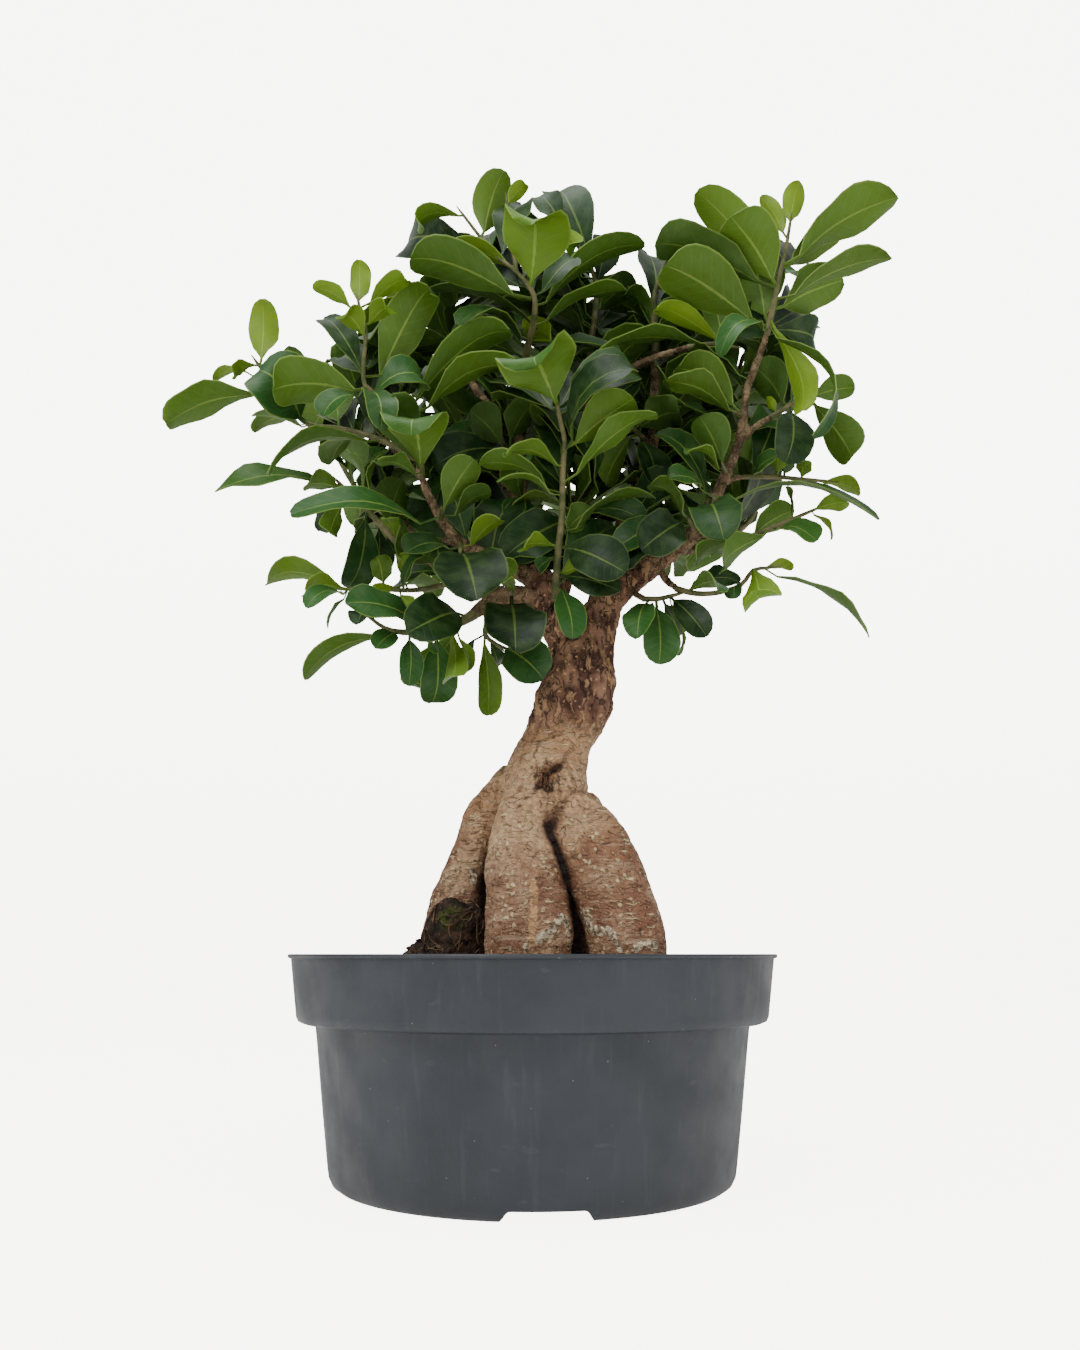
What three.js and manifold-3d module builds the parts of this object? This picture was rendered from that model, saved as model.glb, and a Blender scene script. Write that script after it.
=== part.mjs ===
// Ficus ginseng bonsai in a round nursery pot
// Millimetres, Z up. The origin is the middle of the pot's base, and the plant is seen
// from the front along +Y.
import * as THREE from "three";
import { mergeVertices } from "three/addons/utils/BufferGeometryUtils.js";
import Module from "manifold-3d";

const wasm = await Module();
wasm.setup();

// Driving dimensions
const RIM_RADIUS = 100;
const POT_HEIGHT = 88;
const COLLAR_FOOT = 61.8;
const COLLAR_RADIUS = 95.6;
const BODY_TOP_RADIUS = 88;
const BASE_RADIUS = 75;
const FLOOR_TOP = 6.3;
const WALL = 1.8;
const POT_SIDES = 36;
const ROOT_SIDES = 10;
const TWIG_SIDES = 4;
const CHANNEL_HEIGHT = 4.3;
const CHANNEL_WIDTH = 35;
const CHANNEL_TOP_WIDTH = 27;
const CHANNEL_START = 26;
const CHANNEL_TURN = 4;
const DRAIN_RADIUS = 5;
const DRAIN_SIDES = 10;
const DRAIN_REACHES = [42, 62];
const SOIL_LEVEL = 76;
const CLOD_PLACE = new THREE.Vector3(-32.5, 7, 93);
const CLOD_SIZE = new THREE.Vector3(13.5, 13, 18);
const SOIL_RINGS = [84, 70, 58, 47, 36, 24];
const FIT_GAP = 0.35;
const EYE = new THREE.Vector3(3, -500, 88);
const BLADE_HALF = 0.7;
const FOLD = 14;
const SMALL_LEAF = 15;
const BLADE_FOOT = [0, 0.12];
const POINT_SPACING = 3.3;
const SHORT_STALK = 5;
const SHORT_STALK_SHARE = 0.13;
const STALK_SETBACK = 2;
const STALK_RADIUS = 0.8;
const STALK_ROOT_HALF = [0.7, 0.6];
const LEAF_CLEARANCE = 2.5;
const STEM_CLEARANCE = 1.8;
const FREE_NEAR_LEAF = 0.15;
const FREE_NEAR_STEM = 0.35;
const LEAF_ANGLE = 137.5;
const CROWN_TOP = 458;
const SEED = 20240611;

// Where a point of the plant lies: x and z as they show in the plane through the trunk,
// and its depth behind it
function seen(x, z, depth) {
  const k = (depth - EYE.y) / -EYE.y;
  return new THREE.Vector3(EYE.x + (x - EYE.x) * k, depth, EYE.z + (z - EYE.z) * k);
}

function widened(depth) {
  return (depth - EYE.y) / -EYE.y;
}

// Roots and trunk, each a row of [x, z, depth, radius]
const ROOTS_AND_TRUNK = [
  [[6, 139, 8, 13], [6.5, 149, 4, 18.4], [5.8, 160, 4, 18.7], [8, 170, 4, 16.4], [11, 180, 4, 15.2],
    [16.3, 190, 4, 16.3], [19, 200, 4, 16], [19.6, 209, 4, 14.6], [19.6, 218, 5, 12]],
  [[13, 150, 0, 11.5], [20.5, 139, -5, 14.8], [26.4, 130.5, -8, 16.2], [30.8, 119, -10, 16.4],
    [36.4, 105, -12, 15.9], [40.2, 90, -13, 16.3], [42, 75, -13, 14], [44, 58, -12, 11], [44, 42, -10, 7]],
  [[-1, 158, 2, 12], [-3, 148, -2, 12.6], [-5.3, 138, -6, 12.8], [-4.8, 127, -9, 15.5],
    [-3.6, 117, -11, 17.4], [-2.2, 105, -12, 18.4], [-1.6, 90, -13, 18.4], [-2, 74, -12, 15],
  [-3, 56, -10, 11], [-3, 42, -9, 7]], [[-5, 160, 10, 11], [-12.5, 151.5, 14, 11], [-20, 143, 17, 10.4],
  [-24, 131, 19, 9.9], [-28.3, 118, 21, 11.3], [-31, 106, 22, 13.6], [-32.5, 92, 23, 14.4],
  [-36, 76, 24, 12], [-39, 58, 24, 9], [-39, 44, 22, 6]], [[8, 152, 14, 14], [9, 140, 26, 13],
  [10, 125, 34, 13], [12, 108, 40, 13.5], [14, 90, 44, 13.5], [15, 72, 46, 11], [15, 52, 46, 7]],
  [[16, 148, 12, 13], [24, 136, 20, 12], [32, 120, 26, 11.5], [38, 104, 31, 12], [41, 88, 34, 11.5],
    [43, 70, 36, 9], [43, 52, 36, 6]],
];

// Bare branches, from the trunk out to where their leafy stems begin
const BRANCHES = [
  [[19, 206, 6, 10], [15, 220, 6, 8.4], [8, 234, 7, 7], [5, 246, 10, 6.2], [1, 257, 13, 5.2],
    [-4, 270, 17, 4.3], [-6, 290, 21, 3.6], [-7, 320, 24, 2.9], [-6, 340, 23, 2.4]],
  [[23, 206, 5, 11], [25.5, 220, 5, 10], [28, 232, 5, 8.8], [33, 242, 4, 7.4], [42, 249.5, 2, 5.8],
    [52, 257, 0, 5], [62, 265, -2, 4.6], [72, 273, -4, 4.1], [79, 283, -5, 3.2], [86, 297, -6, 2.6],
    [91, 308, -7, 2.4], [95, 318, -8, 2.3], [98, 332, -8, 2.1], [100, 345, -9, 1.9], [104, 356, -10, 1.8],
    [108, 366, -10, 1.7]],
  [[28, 233, 8, 7], [33, 250, 12, 5.4], [38, 266, 16, 4.6], [43, 283, 20, 4], [51, 303, 24, 3.4],
    [56, 325, 26, 2.8], [57, 350, 26, 2.4]],
  [[9, 238, 10, 5], [16, 262, 18, 4], [21, 285, 26, 3.4], [25, 308, 32, 2.9], [24, 335, 36, 2.4]],
  [[4, 249, 12, 4.8], [-9, 257, 9, 3.8], [-22, 263, 4, 3.3], [-33, 269, 0, 2.6], [-40, 277, -4, 2.4],
    [-46, 288, -6, 2.1], [-51, 300, -8, 1.9], [-53, 309, -8, 1.8]],
  [[5, 240, 9, 5], [-8, 244.5, 4, 4.2], [-20, 241, 0, 3.6]],
  [[-12, 244, 4, 3.4], [-30, 252, 9, 2.7], [-42, 258, 9, 2.4]],
];

// Leafy stems. Each starts as bare wood that belongs to the tree, as far as the row with index cut.
// A leaf is [foot x, foot z, tip x, tip z, reach of the tip in depth, width, turn of the upper
// side, arch, age]
const LEAFY_STEMS = [
  {
    name: "shoot_upper_left",
    cut: 2,
    stem: [[-53, 309, -8, 1.8], [-54, 319, -8, 1.7], [-56, 329, -9, 1.6], [-63, 338, -12, 1.5],
      [-72, 342, -16, 1.4], [-79, 347, -19, 1.2], [-80, 360, -21, 1.1], [-79.5, 375, -22, 1],
      [-83, 388, -22, 0.8]],
    leaves: [
      [-55, 333, -6, 356, -16, 18, 130, 0.2, 0.45],
      [-54, 340, -13.5, 378.5, -8, 18, 145, 0.12, 0.3],
      [-71.5, 352, -53, 395, 6, 20, 170, 0.1, 0.4],
      [-78, 344, -123, 344.5, -10, 23, 155, 0.2, 0.45],
      [-78, 341, -51, 348, -26, 20, 55, 0.28, 0.2],
      [-82, 341, -98, 331, -22, 16, 60, 0.2, 0.3],
      [-80, 343, -70, 326, -26, 14, 40, 0.2, 0.35],
      [-62, 346, -52, 374, -2, 12, 100, 0.1, 0.2],
      [-78, 350, -100.5, 383.5, 6, 13, 30, 0.1, 0.15],
      [-79.5, 372, -90, 384, -8, 12, 150, 0.2, 0.8],
      [-79, 378, -69, 387, -8, 11, 150, 0.2, 0.75],
      [-83.5, 388, -84, 413, 4, 10, 165, 0.08, 0.9],
      [-85, 386, -106, 398.5, 2, 9, 140, 0.15, 0.8],
      [-80, 388, -61, 403.5, -6, 10, 150, 0.12, 0.75],
    ],
  },
  {
    name: "shoot_far_left",
    cut: 1,
    stem: [[-53, 309, -7, 1.7], [-62, 315, -3, 1.5], [-75, 321, 2, 1.4], [-90, 325, 4, 1.3],
      [-104, 327, 4, 1.2], [-112, 334, 4, 1.1], [-121, 346, 4, 1], [-129, 357, 4, 0.8]],
    leaves: [
      [-70, 321, -121, 300, -24, 16, 112, 0.2, 0.25],
      [-130, 342, -170, 326, -12, 20, 140, 0.16, 0.45],
      [-128, 357, -129, 390, 6, 14, 170, 0.08, 1],
      [-106, 327, -129, 356, -8, 30, 25, 0.2, 0.2],
      [-130, 358, -140.5, 352, -8, 8, 140, 0.2, 0.8],
      [-129, 352, -150, 350, 6, 8, 110, 0.15, 0.9],
      [-104, 326, -130, 323, -10, 13, 115, 0.22, 0.4],
      [-106, 326, -131, 330.5, -14, 10, 110, 0.12, 0.3],
      [-112, 338, -116, 366, 14, 15, 160, 0.1, 0.1],
      [-90, 326, -96, 352, 12, 16, 160, 0.1, 0.3],
    ],
  },
  {
    name: "shoot_left_heart",
    cut: 1,
    stem: [[-51, 300, -8, 1.6], [-51, 302, -11.5, 1.3], [-51, 304, -15, 1.1]],
    leaves: [
      [-51, 304, -57, 327, -32, 28, 165, 0.22, 0.5],
      [-52, 302, -72, 307, 10, 12, 120, 0.15, 0.2],
    ],
  },
  {
    name: "shoot_left_mid",
    cut: 1,
    stem: [[-42, 280, -5, 1.6], [-42, 281, -9, 1.3], [-42, 283, -13, 1.1]],
    leaves: [
      [-42, 284, -27.5, 310, -8, 16, 160, 0.1, 0.4],
      [-43, 278, -111, 279, -18, 17, 58, 0.19, 0.3],
      [-38, 280, -20, 294, 4, 14, 120, 0.1, 0.1],
    ],
  },
  {
    name: "shoot_left_inner",
    cut: 1,
    stem: [[-33, 269, 0, 1.6], [-33, 268, -4.5, 1.4], [-33, 266, -9, 1.1]],
    leaves: [
      [-33, 267, -25, 240, -36, 30, 12, 0.12, 0.05],
      [-30, 266, -15, 281, -10, 12, 132, 0.1, 0.7],
      [-38, 266, -58, 264, -16, 16, 60, 0.15, 0.1],
    ],
  },
  {
    name: "shoot_lower_left",
    cut: 1,
    stem: [[-20, 241, 0, 3.4], [-27, 235, -4, 2.6], [-34, 231, -9, 2], [-45, 228, -15, 1.7],
      [-58, 227, -19, 1.4], [-66, 229, -20, 1], [-73, 234, -21, 0.8]],
    leaves: [
      [-31, 237, -56.5, 226, -30, 21, 18, 0.12, 0.1],
      [-34, 229, -46, 199, -26, 20, 160, 0.28, 0.45],
      [-36, 229, -37, 205, -14, 10, 150, 0.1, 0.6],
      [-43, 223, -43, 195.5, -22, 16, 20, 0.1, 0.3],
      [-33, 226, -31, 208, -6, 8, 120, 0.22, 0.65],
      [-55, 226, -54.5, 203, -14, 10, 15, 0.1, 0.2],
      [-54, 226, -45, 220, -16, 10, 120, 0.15, 0.45],
      [-60, 227, -70, 219, -12, 10, 30, 0.15, 0.3],
      [-63, 228, -100.5, 204.5, -6, 12, 132, 0.2, 0.35],
      [-54, 232.5, -84, 241, -14, 15, 42, 0.12, 0.2],
      [-73, 239, -78, 231, -12, 10, 40, 0.1, 0.15],
    ],
  },
  {
    name: "shoot_hanging_left",
    cut: 1,
    stem: [[-20, 240, 0, 1.8], [-20, 233, -4, 1.4], [-21.5, 226, -7, 1.1], [-17, 222, -9, 0.9]],
    leaves: [
      [-22, 226, -19.5, 189.5, -8, 11.5, 155, 0.06, 0.5],
      [-14, 221, 4, 207, -16, 19, 20, 0.12, 0.15],
      [-26, 225, -30, 211, -2, 8, 30, 0.1, 0.15],
      [-19, 223, -16, 211, 4, 8, 30, 0.1, 0.15],
    ],
  },
  {
    name: "shoot_dark_round",
    cut: 1,
    stem: [[-9, 244, 4, 1.8], [-9.5, 244.5, -3, 1.4], [-10, 245, -8, 1.1]],
    leaves: [
      [-10, 243, -8, 216.5, -36, 25, 8, 0.12, 0.03],
      [-8, 246, -15, 250, -14, 8, 120, 0.1, 0.5],
      [-12, 248, -12, 262, 4, 8, 150, 0.1, 0.4],
    ],
  },
  {
    name: "shoot_mid_left",
    cut: 1,
    stem: [[-42, 258, 9, 2.3], [-50, 262, 7, 2.1], [-60, 268, 5, 1.9], [-66, 274, 4, 1.7], [-75, 284, 4, 1.4],
      [-81, 290, 4, 1.2], [-88, 297, 4, 0.9]],
    leaves: [
      [-88, 298, -145.5, 292, -10, 15, 58, 0.15, 0.5],
      [-88, 296, -104, 297, -12, 14, 130, 0.1, 0.4],
      [-90, 290, -96, 274.5, -10, 10, 30, 0.08, 0.1],
      [-87, 289, -92, 273.5, -12, 11, 150, 0.08, 0.45],
      [-76, 284, -81, 249, -8, 15, 25, 0.1, 0.12],
      [-70, 278, -71, 254, 8, 14, 25, 0.1, 0.1],
      [-62, 271, -67, 280, -8, 8, 150, 0.2, 0.6],
      [-78, 289, -84, 312, 4, 9, 100, 0.1, 0.2],
      [-75, 286, -70, 312, 4, 9, 100, 0.1, 0.2],
      [-66, 274, -60, 300, 10, 18, 150, 0.1, 0.08],
    ],
  },
  {
    name: "shoot_thin_left",
    cut: 1,
    stem: [[-36, 255, 9, 1.6], [-40, 249, 3, 1.3], [-49, 247, -3, 1.2], [-58, 246.5, -8, 1.1],
      [-68, 247, -10, 1], [-83, 247, -10, 0.8]],
    leaves: [
      [-83, 247, -120.5, 252, -8, 15, 128, 0.18, 0.6],
      [-84, 248, -101.5, 245, -16, 12, 135, 0.2, 0.75],
      [-60, 248, -72, 245, -16, 7, 165, 0.06, 0.95],
      [-83, 245, -101, 240.5, -12, 10, 60, 0.12, 0.35],
      [-84, 244, -91, 229, -10, 5, 100, 0.1, 0.2],
      [-58, 250, -60, 264, -4, 7, 150, 0.1, 0.6],
      [-59, 243, -52, 264, 2, 9, 65, 0.08, 0.2],
      [-60, 245, -55, 238, -6, 7, 150, 0.1, 0.65],
      [-67, 249, -70, 262, 2, 10, 160, 0.06, 0.4],
    ],
  },
  {
    name: "shoot_front_centre",
    cut: 1,
    stem: [[9, 237, 5, 2.2], [9.8, 244, -4, 1.9], [10.5, 256, -11, 1.7], [11.5, 268, -17, 1.6],
      [13, 282, -23, 1.5], [13.5, 305, -30, 1.4], [14.5, 318, -34, 1.2], [12, 331, -36, 1.1],
      [11, 337, -37, 0.9]],
    leaves: [
      [11, 337, 0, 361, -22, 33, 170, 0.2, 0.5],
      [16, 315, 47, 340, -12, 19, 160, 0.12, 0.55],
      [15, 298, 57, 334, -14, 14, 128, 0.1, 0.4],
      [14, 306, -13, 311, -14, 12, 122, 0.22, 0.5],
      [11, 293, -26, 306.5, -14, 14, 122, 0.2, 0.35],
      [12, 268, 42, 254, -18, 20, 20, 0.14, 0.08],
      [12, 254, 39, 246, -24, 13, 20, 0.12, 0.05],
      [12, 249, 18, 227, -16, 13, 22, 0.06, 0.25],
      [11, 254, 26, 258.5, -12, 10, 150, 0.1, 0.8],
      [14, 274, 57, 288, -4, 14, 102, 0.2, 0.1],
      [11, 292, -17, 297, 4, 10, 100, 0.2, 0.35],
      [14, 274, 26, 285, 4, 12, 150, 0.1, 0.25],
      [10, 268, -5, 267, -10, 10, 130, 0.12, 0.65],
      [9, 262, 2, 256, 4, 8, 40, 0.1, 0.2],
    ],
  },
  {
    name: "shoot_inner_centre",
    cut: 1,
    stem: [[21, 285, 24, 1.8], [20, 283, 12, 1.4], [19.5, 282, 5, 1.1]],
    leaves: [
      [19, 282, -12, 264, -16, 21, 15, 0.12, 0.1],
      [18, 286, -10, 288, -6, 10, 115, 0.12, 0.45],
    ],
  },
  {
    name: "shoot_top_centre",
    cut: 1,
    stem: [[-6, 340, 23, 2.3], [-5, 352, 17, 2], [-3, 366, 6, 1.7], [0, 380, -5, 1.5], [0, 394, -13, 1.3],
      [-8, 406, -15, 1.1], [-18, 415, -14, 1], [-25, 424, -12, 0.9], [-34, 437, -10, 0.7]],
    side: [[-8, 406, -15, 1], [-11, 424, -14, 0.9], [-13, 443, -12, 0.7]],
    leaves: [
      [-1, 398, 0, 436, -22, 31, 168, 0.14, 0.65],
      [-3, 391, -60, 415, -16, 22, 150, 0.14, 0.25],
      [8, 370, -5, 377, -16, 11, 150, 0.25, 0.9],
      [6, 390, 51.5, 424, -10, 16, 130, 0.12, 0.35],
      [6, 380, 44.6, 396, -8, 16, 112, 0.12, 0.3],
      [-8, 408, -41, 420, -6, 11, 145, 0.15, 0.75],
      [2, 393, 20, 414, -2, 13, 35, 0.1, 0.15],
      [2, 376, -51.5, 395.6, 2, 14, 106, 0.12, 0.08],
      [-16, 413, -6, 446, 8, 17, 30, 0.08, 0.1],
      [-24, 420, -59, 420, 4, 23, 25, 0.18, 0.05],
      [-25, 424, -17, 459, 6, 17, 165, 0.08, 0.5],
      [-34, 438, -56, 430, 0, 11, 135, 0.28, 0.6],
      [-13, 443, -5, 454, 2, 7.5, 160, 0.1, 0.9],
      [-4, 362, -40, 372, 8, 20, 150, 0.12, 0.05],
    ],
  },
  {
    name: "shoot_top_back",
    cut: 1,
    stem: [[24, 335, 36, 2.3], [26, 352, 38, 2], [28, 375, 34, 1.6], [30, 398, 28, 1.3], [25, 414, 24, 1.1],
      [15, 430, 20, 0.9], [12, 435, 19, 0.7]],
    leaves: [
      [29, 408, 11, 454.5, 2, 22, 20, 0.1, 0.1],
      [12, 434, 18.5, 418.5, -18, 9, 150, 0.15, 0.8],
      [15, 430, 3, 449, 6, 14, 20, 0.1, 0.1],
      [30, 398, 33, 426, 8, 16, 30, 0.1, 0.05],
      [29, 385, 50, 400, 6, 18, 140, 0.12, 0.1],
      [27, 370, 5, 385, 8, 18, 120, 0.12, 0.1],
      [28, 378, 42, 362, -8, 16, 60, 0.12, 0.1],
    ],
  },
  {
    name: "shoot_top_right_back",
    cut: 1,
    stem: [[57, 350, 26, 2.3], [57, 364, 25, 2], [57, 380, 20, 1.7], [58, 395, 15, 1.3], [62, 408, 12, 1]],
    leaves: [
      [58, 384, 55, 415, 4, 18, 30, 0.1, 0.08],
      [57, 380, 44, 396, -6, 14, 120, 0.15, 0.1],
      [61, 402, 78, 417, 4, 18, 140, 0.1, 0.15],
      [57, 376, 74, 386, 4, 18, 140, 0.1, 0.15],
    ],
  },
  {
    name: "shoot_top_right",
    cut: 1,
    stem: [[108, 366, -10, 1.7], [110.5, 374, -13, 1.6], [115, 392, -19, 1.4], [118, 405, -23, 1.2],
      [121, 416, -26, 1], [124, 431, -28, 0.8]],
    leaves: [
      [109, 377, 63, 411, -24, 27, 160, 0.1, 0.4],
      [117, 398, 95, 436, -16, 25, 162, 0.18, 0.5],
      [111, 378, 103, 423, -6, 24, 165, 0.1, 0.4],
      [113.5, 381, 122, 336, -24, 14, 150, 0.22, 0.9],
      [118, 391, 172.5, 414.5, -14, 16, 128, 0.1, 0.4],
      [121, 410, 178.5, 447.5, -10, 22, 145, 0.14, 0.5],
      [116, 402, 83, 449, 10, 20, 165, 0.06, 0.6],
      [115, 386, 149, 402, 6, 22, 155, 0.1, 0.45],
      [112, 377, 131, 368, -14, 18, 30, 0.25, 0.12],
      [113, 378, 130, 319.5, -6, 10, 98, 0.2, 0.2],
      [124, 431, 129, 455, 4, 10, 165, 0.06, 1],
      [122, 425, 111, 448, 10, 8, 160, 0.1, 0.95],
      [120, 408, 149, 427, 12, 14, 150, 0.1, 0.6],
      [114, 398, 59, 424, 16, 22, 150, 0.1, 0.12],
      [111, 376, 90, 371, -16, 10, 60, 0.12, 0.25],
    ],
  },
  {
    name: "shoot_mid_right",
    cut: 4,
    stem: [[24, 331, 35, 2.4], [32, 346, 30, 2.4], [45, 355, 22, 2.2], [60, 362, 12, 2], [74, 366.5, 3, 1.6],
      [84, 368, -3, 1.4], [92, 367, -8, 1]],
    leaves: [
      [91, 367, 27, 361, -12, 15, 112, 0.13, 0.3],
      [91, 368, 58, 389, -14, 11, 152, 0.08, 0.95],
      [90, 368, 84, 396, 6, 14, 160, 0.08, 0.3],
    ],
  },
  {
    name: "shoot_right_inner",
    cut: 1,
    stem: [[98, 332, -8, 1.6], [96.5, 332.5, -12.5, 1.3], [95, 333, -17, 1]],
    leaves: [
      [95, 332, 62, 347, -16, 17, 132, 0.18, 0.35],
      [96, 334, 69, 357, 4, 21, 155, 0.12, 0.4],
    ],
  },
  {
    name: "shoot_right_outer",
    cut: 2,
    stem: [[95, 318, -8, 1.8], [103, 326, -7, 1.6], [111, 331, -6, 1.4], [120, 337, -5, 1.2],
      [129, 341, -4, 0.9]],
    leaves: [
      [129, 340, 147.5, 310.5, -8, 18, 160, 0.1, 0.35],
      [128, 341, 150.5, 346, -4, 13, 150, 0.08, 0.4],
      [130, 340, 136, 323, -4, 5, 150, 0.05, 1],
      [120, 336, 118, 311, -14, 18, 25, 0.1, 0.12],
      [118, 336, 104, 357, 8, 19, 150, 0.1, 0.1],
      [113, 333, 109, 341, -5, 4, 160, 0.05, 0.9],
    ],
  },
  {
    name: "shoot_right_twig",
    cut: 2,
    stem: [[86, 297, -6, 1.8], [91, 300, 0, 1.6], [97, 301, 4, 1.3], [110, 301, 5, 1.2], [122, 300, 3, 1],
      [133, 299, 0, 0.8]],
    leaves: [
      [112, 302, 113, 315, -8, 11, 160, 0.05, 0.6],
      [131, 299, 149, 292, -6, 10, 132, 0.18, 0.7],
      [100, 301, 112, 311, -12, 12, 60, 0.1, 0.3],
      [123, 300, 124, 309, -6, 8, 150, 0.1, 0.5],
      [115, 301, 118, 320, 10, 14, 150, 0.1, 0.1],
    ],
  },
  {
    name: "shoot_right_arch",
    cut: 1,
    stem: [[83, 291, -6, 1.6], [82, 291.5, -11, 1.4], [81, 292, -15, 1.1]],
    leaves: [
      [83, 292, 156, 275, -16, 15, 86, 0.19, 0.15],
      [80, 289, 86, 273, -34, 21, 12, 0.12, 0.12],
      [79, 294, 61, 300, -10, 12, 62, 0.2, 0.4],
    ],
  },
  {
    name: "shoot_right_hook",
    cut: 1,
    stem: [[88.5, 303, -6.5, 1.5], [88, 304, -11, 1.3], [87.5, 305.5, -15, 1]],
    leaves: [
      [87, 304, 70, 312, -8, 9, 112, 0.28, 0.5],
      [88, 306, 77, 331, 2, 18, 150, 0.1, 0.12],
    ],
  },
  {
    name: "shoot_right_dark",
    cut: 1,
    stem: [[73, 275, -4, 1.7], [72, 277, -9.5, 1.4], [71, 279, -14, 1.1]],
    leaves: [
      [70, 280, 49, 266, -22, 19, 15, 0.12, 0.05],
      [70, 281, 51, 296, -8, 12, 120, 0.28, 0.3],
    ],
  },
  {
    name: "shoot_low_right",
    cut: 2,
    stem: [[74, 275, -4, 1.9], [80, 272, -9, 1.7], [87, 270.5, -12, 1.5], [98, 272, -16, 1.4],
      [108, 276, -19, 1.3], [117, 280, -21, 1.1], [127, 284.5, -22, 0.8]],
    leaves: [
      [107, 274, 84, 258, -14, 15, 132, 0.08, 0.35],
      [108, 276, 128, 268, -12, 15, 60, 0.22, 0.45],
      [127, 285, 143.5, 288.5, -8, 9, 150, 0.12, 0.7],
      [127, 284, 134, 270, -6, 5, 110, 0.2, 0.85],
      [98, 272, 119, 285, 2, 13, 150, 0.1, 0.35],
      [118, 281, 116, 296, 4, 6, 100, 0.05, 0.1],
      [91, 271, 73, 260, -6, 10, 132, 0.1, 0.4],
    ],
  },
  {
    name: "shoot_low_right_front",
    cut: 2,
    stem: [[43, 248, 1, 2], [47, 244, -5, 1.6], [50, 242.5, -8, 1.4], [56, 242.5, -10, 1.2],
      [62, 244, -11, 1]],
    leaves: [
      [55, 241, 56, 213.5, -14, 16, 18, 0.08, 0.4],
      [51, 242, 46, 226, -14, 13, 25, 0.08, 0.35],
      [61, 244, 77, 225, -14, 13, 20, 0.1, 0.08],
      [58, 242, 65, 225, 4, 12, 25, 0.08, 0.05],
      [61, 243, 66, 217, -2, 6, 95, 0.08, 0.3],
    ],
  },
  {
    name: "shoot_low_right_long",
    cut: 2,
    stem: [[56, 258, -1, 2], [60, 251, -6, 1.7], [65, 247, -11, 1.5], [73, 245, -16, 1.3],
      [83, 245.5, -20, 1.2], [93, 249, -23, 1.1], [99, 256, -25, 1], [105, 257, -26, 0.8]],
    leaves: [
      [99, 258, 101, 242, -18, 16, 165, 0.1, 0.75],
      [104, 257, 149, 224, -10, 12, 102, 0.13, 0.2],
      [69, 247, 84, 248, -10, 11, 132, 0.12, 0.3],
      [72, 250, 93, 251, -10, 12, 50, 0.1, 0.12],
      [91, 249, 90, 243.5, -8, 8, 30, 0.08, 0.15],
      [103, 257, 117, 257, 4, 6, 132, 0.15, 0.9],
    ],
  },
  {
    name: "shoot_shade_left",
    cut: 1,
    stem: [[-7, 312, 23, 1.8], [-10, 314, 15, 1.4], [-13, 316, 8, 1.1]],
    leaves: [
      [-14, 316, -46, 306, -4, 22, 40, 0.14, 0.06],
      [-13, 316, -30, 334, 0, 19, 145, 0.1, 0.06],
      [-12, 317, 0, 338, -6, 16, 145, 0.12, 0.1],
    ],
  },
  {
    name: "shoot_shade_right",
    cut: 1,
    stem: [[54, 316, 25, 1.8], [51, 320, 17, 1.4], [47, 324, 9, 1.1]],
    leaves: [
      [46, 324, 33, 298, -6, 14, 150, 0.08, 0.4],
      [47, 325, 68, 334, 0, 20, 145, 0.1, 0.08],
      [45, 326, 22, 322, -4, 18, 60, 0.14, 0.06],
      [49, 322, 56, 296, 2, 17, 40, 0.1, 0.06],
    ],
  },
];

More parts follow.
